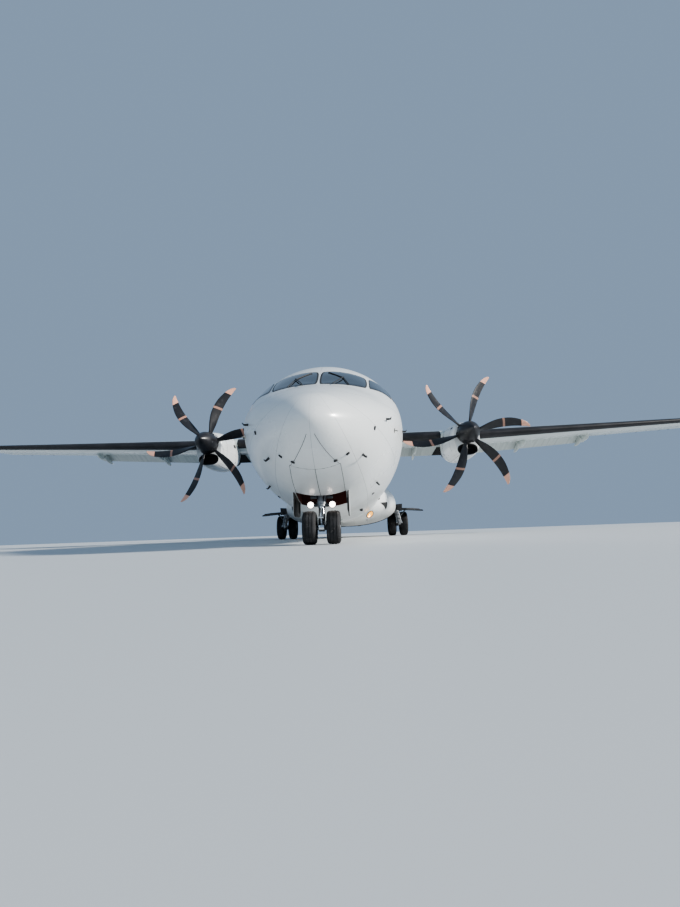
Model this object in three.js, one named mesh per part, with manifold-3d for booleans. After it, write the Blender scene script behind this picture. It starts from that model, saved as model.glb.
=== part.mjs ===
// Twin turboprop airliner with a high wing and a T-tail, parked on its wheels with its flaps down.
// Millimetres, +Z up, nose toward -Y, port wing toward +X, the floor at Z = 0.
// Inside the aircraft group Y is the station, the distance aft of the nose tip.
import * as THREE from 'three';
import { mergeVertices } from 'three/addons/utils/BufferGeometryUtils.js';
import Module from 'manifold-3d';

const wasm = await Module();
wasm.setup();

// Overall sizes
const LENGTH = 27166;
const HALF_SPAN = 13525;
const ENGINE_X = 4050;
const TOUCH = 0.4;
const CLEARANCE = 8;
const SIDES = { port: 1, starboard: -1 };
const SIDE_WORD = { port: 'left', starboard: 'right' };

// Named rows from a short table
function rows(columns, values) {
  return values.map((row) => Object.fromEntries(columns.map((name, i) => [name, row[i]])));
}

// Fuselage: an oval section at each station, its widest line at the waist
const SECTION = ['station', 'bottom', 'waist', 'top', 'halfWidth'];
const FUSELAGE = {
  sides: 36,
  axisHeight: 1900,
  radius: 1432.5,
  noseTip: { station: 0, height: 1420 },
  tailTip: { station: LENGTH, height: 2868 },
  sections: rows(SECTION, [
    [60, 1285, 1420, 1555, 190],
    [250, 1100, 1430, 1735, 410],
    [500, 965, 1475, 1865, 610],
    [1000, 780, 1590, 2090, 880],
    [1500, 660, 1700, 2290, 1070],
    [2000, 580, 1785, 2610, 1200],
    [2500, 532, 1840, 2905, 1290],
    [3000, 504, 1870, 3110, 1355],
    [3600, 484, 1890, 3235, 1400],
    [4200, 472, 1898, 3305, 1425],
    [5000, 467.5, 1900, 3332.5, 1432.5],
    [17500, 467.5, 1900, 3332.5, 1432.5],
    [18300, 505, 1915, 3332.5, 1430],
    [19100, 610, 1960, 3332.5, 1415],
    [20000, 790, 2040, 3332.5, 1345],
    [21000, 1040, 2150, 3331, 1195],
    [22200, 1370, 2310, 3322, 990],
    [23800, 1835, 2520, 3290, 700],
    [25400, 2310, 2720, 3215, 385],
    [26600, 2660, 2840, 3080, 165],
    [27100, 2800, 2868, 2950, 55],
  ]),
};
const TAIL_CAVITY = { from: 19900, to: 26300, wall: 60, slotHalfWidth: 60, slotFrom: 23600, slotTo: 24600 };

// Windscreen band, in station and height
const WINDSCREEN = {
  thickness: 40,
  middle: [2000, 2300],
  outline: [[1400, 2190], [3080, 2270], [2980, 2790], [2330, 2960], [2200, 3300], [1400, 3300]],
};

// Belly fairing that houses the main gear, and the wheel wells in it
const BELLY = {
  power: 2.35,
  sides: 24,
  sections: rows(SECTION, [
    [8850, 620, 1150, 1600, 1130],
    [9400, 520, 1120, 1780, 1470],
    [10000, 455, 1090, 1880, 1690],
    [11000, 400, 1060, 1960, 1890],
    [12000, 385, 1050, 1990, 1960],
    [12800, 385, 1050, 1980, 1955],
    [13600, 400, 1065, 1920, 1850],
    [14400, 430, 1095, 1800, 1610],
    [15000, 465, 1125, 1700, 1370],
    [15400, 520, 1150, 1600, 1120],
  ]),
};
const MAIN_WELL = {
  centre: [600, 12100],
  radius: 470,
  roof: 1050,
  slot: [[700, 11680], [1350, 11400], [2200, 11080], [2200, 12020], [1500, 12260], [900, 12480]],
  sillBelow: 200,
  slotFit: 0.998,
};
const NOSE_BAY = { halfWidth: 350, from: 1470, to: 2250, roof: 1230 };

// Wing: a flat centre wing of constant chord and tapered outer panels with dihedral
const WING = {
  base: 3408,
  camber: 0.02,
  centre: { halfSpan: 4850, leading: 10800, chord: 2570, thickness: 0.18 },
  tip: { halfSpan: HALF_SPAN, leading: 11515, chord: 1590, thickness: 0.13 },
  dihedral: THREE.MathUtils.degToRad(2.5),
};
const FLAP = {
  angle: 30,
  inner: [1640, 4830],
  outer: [4870, 9735],
  shroudEnd: 0.785,
  coveStart: 0.69,
  noseBottom: 0.716,
  noseTop: 0.812,
  hingeAlong: 0.8366,
  hingeBelow: 0.1588,
};
const AILERON = { inner: 9780, outer: 13145, hinge: 0.72, endGap: 16 };
const FLAP_FAIRING = { halfWidth: 45, stations: { inner: [2900, 4690], outer: [7000, 9400] } };

// Fairing over the wing root on the crown of the fuselage
const WING_FAIRING = {
  flapGap: 12,
  power: 2.2,
  sides: 24,
  sections: rows(SECTION, [
    [9500, 2900, 3150, 3320, 500],
    [10000, 2800, 3120, 3470, 900],
    [10600, 2750, 3110, 3660, 1230],
    [11200, 2720, 3110, 3770, 1380],
    [12200, 2720, 3110, 3775, 1400],
    [13200, 2720, 3110, 3720, 1330],
    [14000, 2760, 3110, 3600, 1120],
    [14800, 2800, 3120, 3450, 780],
    [15300, 2900, 3150, 3325, 480],
  ]),
};

// Nacelle, engine and propeller
const NACELLE = {
  power: 2.3,
  sides: 24,
  sections: rows(SECTION, [
    [9150, 2370, 2990, 3420, 400],
    [9320, 2345, 2970, 3475, 435],
    [9650, 2335, 2955, 3545, 455],
    [10200, 2345, 2950, 3625, 462],
    [11000, 2425, 2990, 3720, 450],
    [11500, 2560, 3055, 3745, 380],
    [11900, 2700, 3110, 3745, 305],
    [12250, 2830, 3150, 3740, 235],
  ]),
  intake: { halfWidth: 300, halfHeight: 165, height: 2580, depth: 300 },
};
const ENGINE = {
  from: 9500,
  to: 11100,
  width: 600,
  bottom: 2620,
  top: 3200,
  shaftRadius: 80,
  shaftFront: 9070,
};
const EXHAUST = { radius: 175, wall: 14, height: 2985, from: 12130, to: 12520, flatten: 0.8 };
const PROPELLER = {
  station: 9000,
  height: 3070,
  blades: 6,
  restTurn: 13,
  hub: { radius: 318, from: -135, to: 128, boreGap: 3 },
  spinnerLength: 620,
};
// Each blade: distance from the axis, chord, thickness, pitch in degrees, sweep of the middle line behind
const BLADE = rows(['radius', 'chord', 'thickness', 'pitch', 'sweep'], [
  [230, 130, 96, 62, 0],
  [400, 170, 64, 57, -15],
  [650, 262, 42, 49, -38],
  [950, 304, 30, 41, -45],
  [1250, 298, 23, 35, -10],
  [1520, 262, 18, 30, 60],
  [1750, 205, 13, 27, 155],
  [1890, 140, 10, 25, 235],
  [1965, 62, 7, 24, 300],
]);

// Tail
const FIN = {
  bottom: { height: 3000, leading: 22050, trailing: 26490, thickness: 0.1 },
  top: { height: 7190, leading: 25000, trailing: 26960, thickness: 0.12 },
  rudderHinge: 0.6,
  rudder: [3370, 7040],
  dorsal: rows(SECTION, [
    [18300, 3200, 3260, 3336, 14],
    [19600, 3200, 3300, 3470, 40],
    [21000, 3200, 3320, 3680, 75],
    [22200, 3200, 3350, 3990, 115],
    [23300, 3200, 3400, 4560, 150],
    [24000, 3200, 3400, 4900, 120],
  ]),
};
const TAILPLANE = {
  height: 7430,
  root: { leading: 24970, trailing: 26950, thickness: 0.115 },
  tip: { halfSpan: 3654, leading: 25590, trailing: 26780, thickness: 0.1 },
  elevatorHinge: 0.66,
  elevator: [275, 3400],
  bullet: rows(SECTION, [
    [24560, 7390, 7430, 7465, 35],
    [24850, 7290, 7415, 7540, 125],
    [25300, 7190, 7410, 7620, 195],
    [25900, 7165, 7410, 7650, 205],
    [26500, 7165, 7415, 7610, 160],
    [27100, 7300, 7430, 7500, 50],
  ]),
};

// Landing gear
const MAIN_GEAR = {
  x: 2050,
  axle: { station: 12300, height: 430, radius: 58, halfLength: 345 },
  pivot: [1660, 11560, 930],
  collar: [1960, 11520, 860],
  knee: [2050, 11590, 470],
  legRadius: 88,
  armRadius: 52,
  trunnion: { from: [1560, 11250, 950], to: [1560, 12100, 950], radius: 60 },
  shock: { top: [1955, 11690, 855], bottom: [2050, 11905, 520], radius: 42, lugRadius: 62 },
};
const MAIN_WHEEL = { radius: 430, width: 285, rimRadius: 205, offset: 212.5, boreRadius: 60 };
const NOSE_GEAR = {
  axle: { station: 1530, height: 230, radius: 36, halfLength: 262 },
  top: [0, 1795, 1245],
  collarHeight: 520,
  legRadius: 68,
  pistonRadius: 46,
  brace: { from: [0, 1700, 800], to: [0, 2190, 1260], radius: 28 },
  door: { inner: 372, thickness: 22, from: 1500, to: 2230, bottom: 395 },
};
const NOSE_WHEEL = { radius: 230, width: 190, rimRadius: 112, offset: 165, boreRadius: 38 };
const WHEEL_SEGMENTS = 24;

// Lamps: landing lamps flush in the belly fairing, taxi lamps on the nose leg, a beacon under the keel
const LANDING_LAMP = { x: 930, station: 9200, halfWidth: 110, halfLength: 270, proud: 6, depth: 40 };
const TAXI_LAMP = { x: 152, height: 545, radius: 52, from: 1545, to: 1615, armRadius: 20 };
const BEACON = { station: 8430, radius: 70, drop: 62, segments: 16 };

// Main gear door seen from above, port side: distance from the centre line and station
const GEAR_DOOR = {
  outline: [
    [1900, 11400], [2330, 11450], [2640, 11590], [2860, 11850], [2665, 12080], [2740, 12240],
    [2870, 12430], [3120, 12790], [3040, 12960], [2690, 12640], [2330, 12400], [2100, 12180],
    [1990, 12030], [1900, 11900],
  ],
  height: 950,
  thickness: 34,
  droop: 2,
  struts: [[[2045, 11585, 640], [2330, 11640, 945]], [[1985, 11530, 800], [2150, 11560, 945]]],
  strutRadius: 26,
};

// Cabin doors: side, stations, lowest and highest angle about the fuselage axis, gap behind the door
const DOOR_THICKNESS = 42;
const DOORS = rows(['name', 'side', 'from', 'to', 'low', 'high', 'rearGap'], [
  ['passenger_door', 'port', 18560, 19310, -29, 42, 8],
  ['service_door', 'starboard', 18600, 19210, -22.5, 28, 22],
  ['cargo_door', 'port', 3300, 4590, -30, 34, 8],
]);

const JACK_PADS = rows(['body', 'x', 'station', 'top', 'bottom'], [
  ['fuselage', 0, 3000, 560, 485],
  ['belly', 1150, 13300, 600, 440],
  ['belly', -1150, 13300, 600, 440],
]);
const JACK_PAD_RADIUS = 70;

// Finishes
const FINISHES = {
  white: { color: 0xe6e9e6, roughness: 0.35, metalness: 0.1 },
  greyWhite: { color: 0xd2d7d2, roughness: 0.4, metalness: 0.1 },
  composite: { color: 0xdfe3e0, roughness: 0.4, metalness: 0 },
  black: { color: 0x151617, roughness: 0.5, metalness: 0 },
  rubber: { color: 0x1b1b1c, roughness: 0.9, metalness: 0 },
  gearMetal: { color: 0x6f7478, roughness: 0.45, metalness: 0.6 },
  rim: { color: 0xa9adb0, roughness: 0.4, metalness: 0.7 },
  glass: { color: 0x20282e, roughness: 0.1, metalness: 0 },
  hotSteel: { color: 0x5d5148, roughness: 0.6, metalness: 0.8 },
  lamp: { color: 0xe8b46a, roughness: 0.15, metalness: 0 },
  paleLamp: { color: 0xb4bdb7, roughness: 0.2, metalness: 0 },
  engine: { color: 0x4c4f52, roughness: 0.6, metalness: 0.6 },
};

// Solids from closed geometries, and back

function solid(geometry) {
  const bare = geometry.clone();
  for (const name of ['normal', 'uv']) bare.deleteAttribute(name);
  const merged = mergeVertices(bare, 1e-3);
  const points = merged.attributes.position.array;
  const faces = [];
  let volume = 0;
  const [a, b, c] = [new THREE.Vector3(), new THREE.Vector3(), new THREE.Vector3()];
  for (let i = 0; i < merged.index.count; i += 3) {
    const face = [0, 1, 2].map((k) => merged.index.array[i + k]);
    if (new Set(face).size < 3) continue;
    faces.push(face);
    [a, b, c].forEach((v, k) => v.fromArray(points, 3 * face[k]));
    volume += a.dot(b.cross(c));
  }
  const turned = volume < 0 ? faces.map((f) => [f[0], f[2], f[1]]) : faces;
  return new wasm.Manifold(new wasm.Mesh({
    numProp: 3,
    vertProperties: new Float32Array(points),
    triVerts: new Uint32Array(turned.flat()),
  }));
}

// The largest closed body of a solid, without the chips that a cut leaves
function largest(shape) {
  return shape.decompose().sort((a, b) => b.volume() - a.volume())[0];
}

function geometryOf(shape) {
  const mesh = shape.getMesh();
  const geometry = new THREE.BufferGeometry();
  geometry.setAttribute('position', new THREE.BufferAttribute(new Float32Array(mesh.vertProperties), 3));
  geometry.setIndex(new THREE.BufferAttribute(new Uint32Array(mesh.triVerts), 1));
  const flat = geometry.toNonIndexed();
  flat.computeVertexNormals();
  return flat;
}

// Closed loft through rings of [x, y, z] points with flat ends; a ring of one point is a tip
function loft(rings, flatAxis = 1) {
  const size = Math.max(...rings.map((ring) => ring.length));
  const starts = [];
  let total = 0;
  for (const ring of rings) {
    starts.push(total);
    total += ring.length;
  }
  const at = (i, j) => starts[i] + (rings[i].length === 1 ? 0 : j % size);
  const index = [];
  for (let i = 0; i + 1 < rings.length; i += 1) {
    for (let j = 0; j < size; j += 1) {
      const [p, q, r, s] = [at(i, j), at(i, j + 1), at(i + 1, j), at(i + 1, j + 1)];
      if (p !== q) index.push(p, q, s);
      if (r !== s) index.push(p, s, r);
    }
  }
  const plane = [0, 1, 2].filter((k) => k !== flatAxis);
  for (const [i, forward] of [[0, false], [rings.length - 1, true]]) {
    if (rings[i].length === 1) continue;
    const outline = rings[i].map((p) => new THREE.Vector2(p[plane[0]], p[plane[1]]));
    const ringArea = THREE.ShapeUtils.area(outline);
    for (const face of THREE.ShapeUtils.triangulateShape(outline, [])) {
      const faceArea = THREE.ShapeUtils.area(face.map((k) => outline[k]));
      const keep = (faceArea * ringArea > 0) === forward;
      index.push(...(keep ? face : [face[0], face[2], face[1]]).map((k) => starts[i] + k));
    }
  }
  const geometry = new THREE.BufferGeometry();
  geometry.setAttribute('position', new THREE.Float32BufferAttribute(rings.flat(2), 3));
  geometry.setIndex(index);
  return solid(geometry);
}

// Prism of an outline, from one place to another along an axis
const AXIS_ROWS = {
  x: [[0, 0, 1], [1, 0, 0], [0, 1, 0]],
  y: [[1, 0, 0], [0, 0, 1], [0, 1, 0]],
  z: [[1, 0, 0], [0, 1, 0], [0, 0, 1]],
};
function prism(outline, axis, from, to) {
  const shape = new THREE.Shape(outline.map(([u, v]) => new THREE.Vector2(u, v)));
  const geometry = new THREE.ExtrudeGeometry(shape, { depth: to - from, bevelEnabled: false });
  geometry.translate(0, 0, from);
  const [x, y, z] = AXIS_ROWS[axis];
  return solid(geometry.applyMatrix4(new THREE.Matrix4().set(...x, 0, ...y, 0, ...z, 0, 0, 0, 0, 1)));
}

function box(low, high) {
  const size = high.map((value, k) => value - low[k]);
  const geometry = new THREE.BoxGeometry(...size);
  return solid(geometry.translate(...low.map((value, k) => value + size[k] / 2)));
}

// Round bar between two points
function bar(from, to, radius, segments = 10) {
  const start = new THREE.Vector3(...from);
  const along = new THREE.Vector3(...to).sub(start);
  const geometry = new THREE.CylinderGeometry(radius, radius, along.length(), segments);
  geometry.translate(0, along.length() / 2, 0);
  const turn = new THREE.Quaternion().setFromUnitVectors(new THREE.Vector3(0, 1, 0), along.normalize());
  return solid(geometry.applyQuaternion(turn).translate(...from));
}

function ball(centre, radius, segments = 10) {
  return solid(new THREE.SphereGeometry(radius, segments, segments / 2).translate(...centre));
}

function union(...shapes) {
  return shapes.reduce((sum, shape) => sum.add(shape));
}

function mirrored(point, side) {
  return [point[0] * side, point[1], point[2]];
}

// Rounded sections

// Ring of an oval section: sides are fuller for a power above 2
function ovalRing(section, { sides, power = 2, grow = 0, x = 0 }) {
  const ring = [];
  for (let j = 0; j < sides; j += 1) {
    const angle = (2 * Math.PI * j) / sides;
    const [c, s] = [Math.cos(angle), Math.sin(angle)];
    const bend = (value) => Math.sign(value) * Math.abs(value) ** (2 / power);
    const rise = s > 0 ? section.top - section.waist : section.waist - section.bottom;
    ring.push([
      x + (section.halfWidth + grow) * bend(c),
      section.station,
      section.waist + (rise + grow) * bend(s),
    ]);
  }
  return ring;
}

function body(sections, options) {
  return loft(sections.map((section) => ovalRing(section, options)));
}

function fuselageBody(grow = 0) {
  const { sections, sides, noseTip, tailTip } = FUSELAGE;
  const rings = sections.map((section) => ovalRing(section, { sides, grow }));
  return loft([
    [[0, noseTip.station - grow, noseTip.height]],
    ...rings,
    [[0, tailTip.station + grow, tailTip.height]],
  ]);
}

// Aerofoils

function halfThickness(f, thickness) {
  const shape = 0.2969 * Math.sqrt(f) - 0.126 * f - 0.3516 * f ** 2 + 0.2843 * f ** 3 - 0.1015 * f ** 4;
  return 5 * thickness * shape;
}
function camberAt(f, camber) {
  return 4 * camber * f * (1 - f);
}
function upper(f, foil) {
  return camberAt(f, foil.camber) + halfThickness(f, foil.thickness);
}
function lower(f, foil) {
  return camberAt(f, foil.camber) - halfThickness(f, foil.thickness);
}

// Fixed surface in chord fractions: leading edge, top, a flat back or a lip over a hollow cove, underside
function foilOutline(foil, { topEnd = 1, bottomEnd = 1, lip = 0, cove = 0 } = {}) {
  const [steps, backSteps] = [7, 3];
  const outline = [[0, 0]];
  const spread = (k) => 1 - Math.cos((Math.PI / 2) * (k / steps));
  for (let k = 1; k <= steps; k += 1) outline.push([topEnd * spread(k), upper(topEnd * spread(k), foil)]);
  const [from, end] = [[topEnd, upper(topEnd, foil) - lip], [bottomEnd, lower(bottomEnd, foil)]];
  for (let k = 1; k <= backSteps; k += 1) {
    const along = lip ? (k - 1) / backSteps : k / (backSteps + 1);
    const bow = cove * 4 * along * (1 - along);
    outline.push([
      from[0] + (end[0] - from[0]) * along - bow * 0.35,
      from[1] + (end[1] - from[1]) * along + bow,
    ]);
  }
  for (let k = steps; k >= 1; k -= 1) {
    outline.push([bottomEnd * spread(k), lower(bottomEnd * spread(k), foil)]);
  }
  return outline;
}

// Moving surface aft of its hinge, with a round nose about the hinge
function hingedOutline(foil, hinge) {
  const [steps, noseSteps] = [4, 5];
  const outline = [];
  const f = (k) => hinge + ((1 - hinge) * k) / steps;
  for (let k = 0; k <= steps; k += 1) outline.push([f(k), upper(f(k), foil)]);
  for (let k = steps; k >= 0; k -= 1) outline.push([f(k), lower(f(k), foil)]);
  const radius = halfThickness(hinge, foil.thickness);
  for (let k = 1; k < noseSteps; k += 1) {
    const angle = (Math.PI * k) / noseSteps;
    outline.push([hinge - radius * Math.sin(angle), camberAt(hinge, foil.camber) - radius * Math.cos(angle)]);
  }
  return outline;
}

// Flap as it lies inside the wing section when it is up
function flapOutline(foil) {
  const [steps, noseSteps] = [4, 5];
  const outline = [];
  const top = (k) => FLAP.noseTop + ((1 - FLAP.noseTop) * k) / steps;
  const under = (k) => FLAP.noseBottom + ((1 - FLAP.noseBottom) * k) / steps;
  for (let k = 0; k <= steps; k += 1) outline.push([top(k), upper(top(k), foil)]);
  for (let k = steps; k >= 0; k -= 1) outline.push([under(k), lower(under(k), foil)]);
  const nose = new THREE.CubicBezierCurve(
    new THREE.Vector2(FLAP.noseBottom, lower(FLAP.noseBottom, foil)),
    new THREE.Vector2(FLAP.noseBottom - 0.012, lower(FLAP.noseBottom, foil) + 0.022),
    new THREE.Vector2(FLAP.noseBottom + 0.01, lower(FLAP.noseBottom, foil) + 0.05),
    new THREE.Vector2(FLAP.noseTop, upper(FLAP.noseTop, foil)),
  );
  for (let k = 1; k < noseSteps; k += 1) outline.push(nose.getPoint(k / noseSteps).toArray());
  return outline;
}

// The wing at a distance from the centre line
function wingAt(distance) {
  const { centre, tip, dihedral, base, camber } = WING;
  const out = Math.max(0, distance - centre.halfSpan);
  const part = out / (tip.halfSpan - centre.halfSpan);
  return {
    leading: THREE.MathUtils.lerp(centre.leading, tip.leading, part),
    chord: THREE.MathUtils.lerp(centre.chord, tip.chord, part),
    thickness: THREE.MathUtils.lerp(centre.thickness, tip.thickness, part),
    base: base + out * Math.tan(dihedral),
    camber,
  };
}

// Ring across the wing: outline in chord fractions set at a distance to port or starboard
function wingRing(outline, foil, x, { shrink = 0, grow = 0 } = {}) {
  const length = foil.chord * (1 - shrink);
  const start = foil.leading + foil.chord * shrink * 0.5;
  return outline.map(([f, h]) => [
    x,
    start + f * length + (f < 0.3 ? -grow : 0) + (f > 0.6 ? grow : 0),
    foil.base + h * length * (1 - shrink) + Math.sign(h) * grow,
  ]);
}

const FLAP_CUT = { topEnd: FLAP.shroudEnd, bottomEnd: FLAP.coveStart, lip: 0.006, cove: 0.03 };
function hingeCut(foil, hinge) {
  const gap = halfThickness(hinge, foil.thickness) + CLEARANCE / foil.chord;
  return { topEnd: hinge - gap, bottomEnd: hinge - gap };
}

function wingCentreBody(cut, grow = 0) {
  const foil = wingAt(0);
  const half = WING.centre.halfSpan - TOUCH / 2 + grow;
  return loft([-half, half].map((x) => wingRing(foilOutline(foil, cut), foil, x, { grow })), 0);
}

function outerWingBody(side) {
  const { inner, outer, hinge, endGap } = AILERON;
  const step = 2;
  const edge = (FLAP.outer[1] + inner) / 2;
  const aileronCut = (distance) => hingeCut(wingAt(distance), hinge);
  const stationCuts = [
    [WING.centre.halfSpan + TOUCH / 2, FLAP_CUT, 0],
    [edge, FLAP_CUT, 0],
    [edge + step, aileronCut(edge), 0],
    [outer + endGap, aileronCut(outer), 0],
    [outer + endGap + step, {}, 0],
    [HALF_SPAN - 130, {}, 0],
    [HALF_SPAN - 40, {}, 0.1],
    [HALF_SPAN, {}, 0.42],
  ];
  const rings = stationCuts.map(([distance, cut, shrink]) => {
    const foil = wingAt(distance);
    return wingRing(foilOutline(foil, cut), foil, distance * side, { shrink });
  });
  return loft(rings, 0);
}

// Pod round a flap hinge, as a plate along the stream: the part on the wing or the part on the flap
function hingePod(distance, side, onFlap) {
  const foil = wingAt(distance);
  const keel = -FLAP.hingeBelow + 0.02;
  const points = onFlap
    ? [[0.735, lower(0.735, foil) + 0.012], [0.735, keel], [0.86, keel + 0.008], [1.0, keel + 0.06],
      [1.07, keel + 0.11], [0.98, upper(0.98, foil) * 0.5]]
    : [[0.47, lower(0.47, foil) + 0.02], [0.55, keel + 0.025], [0.63, keel + 0.004], [0.712, keel],
      [0.712, lower(0.68, foil) - 0.006], [0.68, lower(0.68, foil) + 0.012]];
  const outline = points.map(([f, h]) => [foil.leading + f * foil.chord, foil.base + h * foil.chord]);
  const x = distance * side;
  return prism(outline, 'x', x - FLAP_FAIRING.halfWidth, x + FLAP_FAIRING.halfWidth);
}

// The aircraft

const aircraft = new THREE.Group();
aircraft.position.y = -LENGTH / 2;

function piece(name, shape, finish, parent = aircraft) {
  const mesh = new THREE.Mesh(geometryOf(shape), new THREE.MeshStandardMaterial(FINISHES[finish]));
  mesh.name = name;
  parent.add(mesh);
  return mesh;
}

function groupAt(position, parent = aircraft) {
  const group = new THREE.Group();
  group.position.set(...position);
  parent.add(group);
  return group;
}

// Doors: a sector of the fuselage's skin

function doorPrism(door, edge = 0, rear = 0) {
  const side = SIDES[door.side];
  const turn = THREE.MathUtils.radToDeg(edge / FUSELAGE.radius);
  const [near, far] = [900, 2600];
  const corner = (degrees, radius) => {
    const angle = THREE.MathUtils.degToRad(degrees);
    return [side * radius * Math.cos(angle), FUSELAGE.axisHeight + radius * Math.sin(angle)];
  };
  const outline = [
    corner(door.low - turn, near), corner(door.low - turn, far),
    corner(door.high + turn, far), corner(door.high + turn, near),
  ];
  return prism(outline, 'y', door.from - edge, door.to + edge + rear);
}

const skinOutside = fuselageBody(60);
const doorBack = fuselageBody(-DOOR_THICKNESS);
const doorFloor = fuselageBody(-DOOR_THICKNESS - CLEARANCE);
const recessRing = skinOutside.subtract(doorFloor);
const doorRing = fuselageBody(0).subtract(doorBack);

// Windscreen

const windscreenPrism = (grow) => prism(
  WINDSCREEN.outline.map(([station, height]) => [
    station + (station < WINDSCREEN.middle[0] ? -grow : grow),
    height + (height < WINDSCREEN.middle[1] ? -grow : grow),
  ]),
  'x',
  -FUSELAGE.radius - 100,
  FUSELAGE.radius + 100,
);
const glassBack = fuselageBody(-WINDSCREEN.thickness);
const glassSeat = fuselageBody(-WINDSCREEN.thickness - TOUCH);
const windscreen = fuselageBody(0).subtract(glassBack).intersect(windscreenPrism(0));
const windscreenSeat = skinOutside.subtract(glassSeat).intersect(windscreenPrism(TOUCH));

// Wheel wells

function mainWell(side) {
  const { centre, radius, roof, slot, sillBelow } = MAIN_WELL;
  const low = -sillBelow;
  const round = bar([centre[0] * side, centre[1], low], [centre[0] * side, centre[1], roof], radius, 32);
  return round.add(prism(slot.map(([x, station]) => [x * side, station]), 'z', low, roof));
}
const noseBay = box(
  [-NOSE_BAY.halfWidth, NOSE_BAY.from, 0],
  [NOSE_BAY.halfWidth, NOSE_BAY.to, NOSE_BAY.roof],
);
const wells = mainWell(1).add(mainWell(-1));

// Room for the main tyres beside the belly fairing
function tyreRoom(side) {
  const { x, axle } = MAIN_GEAR;
  const inside = x - MAIN_WHEEL.offset - MAIN_WHEEL.width / 2 - 40;
  const centre = (distance) => [distance * side, axle.station, axle.height];
  return bar(centre(inside), centre(x + 600), MAIN_WHEEL.radius + 45, 32);
}

// Fuselage, with its tail hollow up to the fin spars

const cavity = body(
  FUSELAGE.sections,
  { sides: FUSELAGE.sides, grow: -TAIL_CAVITY.wall },
).intersect(box([-2000, TAIL_CAVITY.from, 0], [2000, TAIL_CAVITY.to, 4000]));
const finSlot = box(
  [-TAIL_CAVITY.slotHalfWidth, TAIL_CAVITY.slotFrom, 2600],
  [TAIL_CAVITY.slotHalfWidth, TAIL_CAVITY.slotTo, 3600],
);

function jackPads(bodyName) {
  return JACK_PADS.filter((pad) => pad.body === bodyName).map(({ x, station, top, bottom }) => (
    bar([x, station, bottom], [x, station, top], JACK_PAD_RADIUS, 20)
  ));
}

const wingCentre = wingCentreBody(FLAP_CUT);
const wingRoomCut = { ...FLAP_CUT, cove: 0, lip: FLAP_CUT.lip + (2 * TOUCH) / WING.centre.chord };
const wingCentreRoom = wingCentreBody(wingRoomCut, TOUCH);
const fuselageRoom = fuselageBody(TOUCH);

let fuselage = fuselageBody().subtract(noseBay).subtract(wells).subtract(wingCentreRoom);
fuselage = fuselage.subtract(windscreenSeat).subtract(cavity).subtract(finSlot);
for (const door of DOORS) {
  const recess = recessRing.intersect(doorPrism(door, CLEARANCE, door.rearGap - CLEARANCE));
  fuselage = fuselage.subtract(recess);
  piece(door.name, doorRing.intersect(doorPrism(door)), 'white');
}
fuselage = union(fuselage, ...jackPads('fuselage'));
piece('fuselage', largest(fuselage), 'white');
piece('windscreen', windscreen, 'glass');

// Oval plate in the skin of the belly fairing, grown for its seat
function landingLamp(side, grow = 0) {
  const { x, station, halfWidth, halfLength, proud, depth } = LANDING_LAMP;
  const outline = [];
  const points = 20;
  for (let k = 0; k < points; k += 1) {
    const angle = (2 * Math.PI * k) / points;
    outline.push([
      x * side + (halfWidth + grow) * Math.cos(angle),
      station + (halfLength + grow) * Math.sin(angle),
    ]);
  }
  const outside = body(BELLY.sections, { ...BELLY, grow: grow ? 10 * proud : proud });
  const inside = body(BELLY.sections, { ...BELLY, grow: -depth - grow });
  return outside.subtract(inside).intersect(prism(outline, 'z', 0, BELLY.sections[0].waist));
}

let belly = body(BELLY.sections, BELLY).subtract(fuselageRoom).subtract(wells);
belly = belly.subtract(tyreRoom(1)).subtract(tyreRoom(-1));
for (const [sideName, side] of Object.entries(SIDES)) {
  belly = belly.subtract(landingLamp(side, TOUCH));
  const lamp = landingLamp(side).subtract(fuselageRoom);
  piece(`landing_lamp_${SIDE_WORD[sideName]}`, largest(lamp), 'lamp');
}
belly = largest(belly).add(union(...jackPads('belly')).subtract(fuselageRoom));
piece('belly_fairing', belly, 'greyWhite');

const crown = body(WING_FAIRING.sections, WING_FAIRING).subtract(fuselageRoom).subtract(wingCentreRoom);
const { leading: wingLeading, chord: wingChord } = WING.centre;
const fairingHalf = FLAP.inner[0] - WING_FAIRING.flapGap;
const flapRoomStart = wingLeading + (FLAP.coveStart - 0.01) * wingChord;
const flapRooms = [-1, 1].map((side) => {
  const [inside, outside] = [fairingHalf * side, 3000 * side];
  return box(
    [Math.min(inside, outside), flapRoomStart, 2000],
    [Math.max(inside, outside), 16000, 4200],
  );
});
piece('wing_fairing', largest(crown.subtract(union(...flapRooms))), 'white');

// Wings with the fixed halves of the hinge pods

let centreWing = wingCentre;
for (const side of Object.values(SIDES)) {
  for (const distance of FLAP_FAIRING.stations.inner) {
    centreWing = centreWing.add(hingePod(distance, side, false));
  }
}
piece('wing_centre', centreWing, 'greyWhite');

for (const [sideName, side] of Object.entries(SIDES)) {
  const word = SIDE_WORD[sideName];
  let wing = outerWingBody(side);
  for (const distance of FLAP_FAIRING.stations.outer) {
    wing = wing.add(hingePod(distance, side, false));
  }
  piece(`wing_${word}`, wing, 'greyWhite');
}

// Flaps, hung 30 degrees down, and ailerons

function flapHinge(distance, side) {
  const foil = wingAt(distance);
  return new THREE.Vector3(
    distance * side,
    foil.leading + FLAP.hingeAlong * foil.chord,
    foil.base - FLAP.hingeBelow * foil.chord,
  );
}

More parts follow.
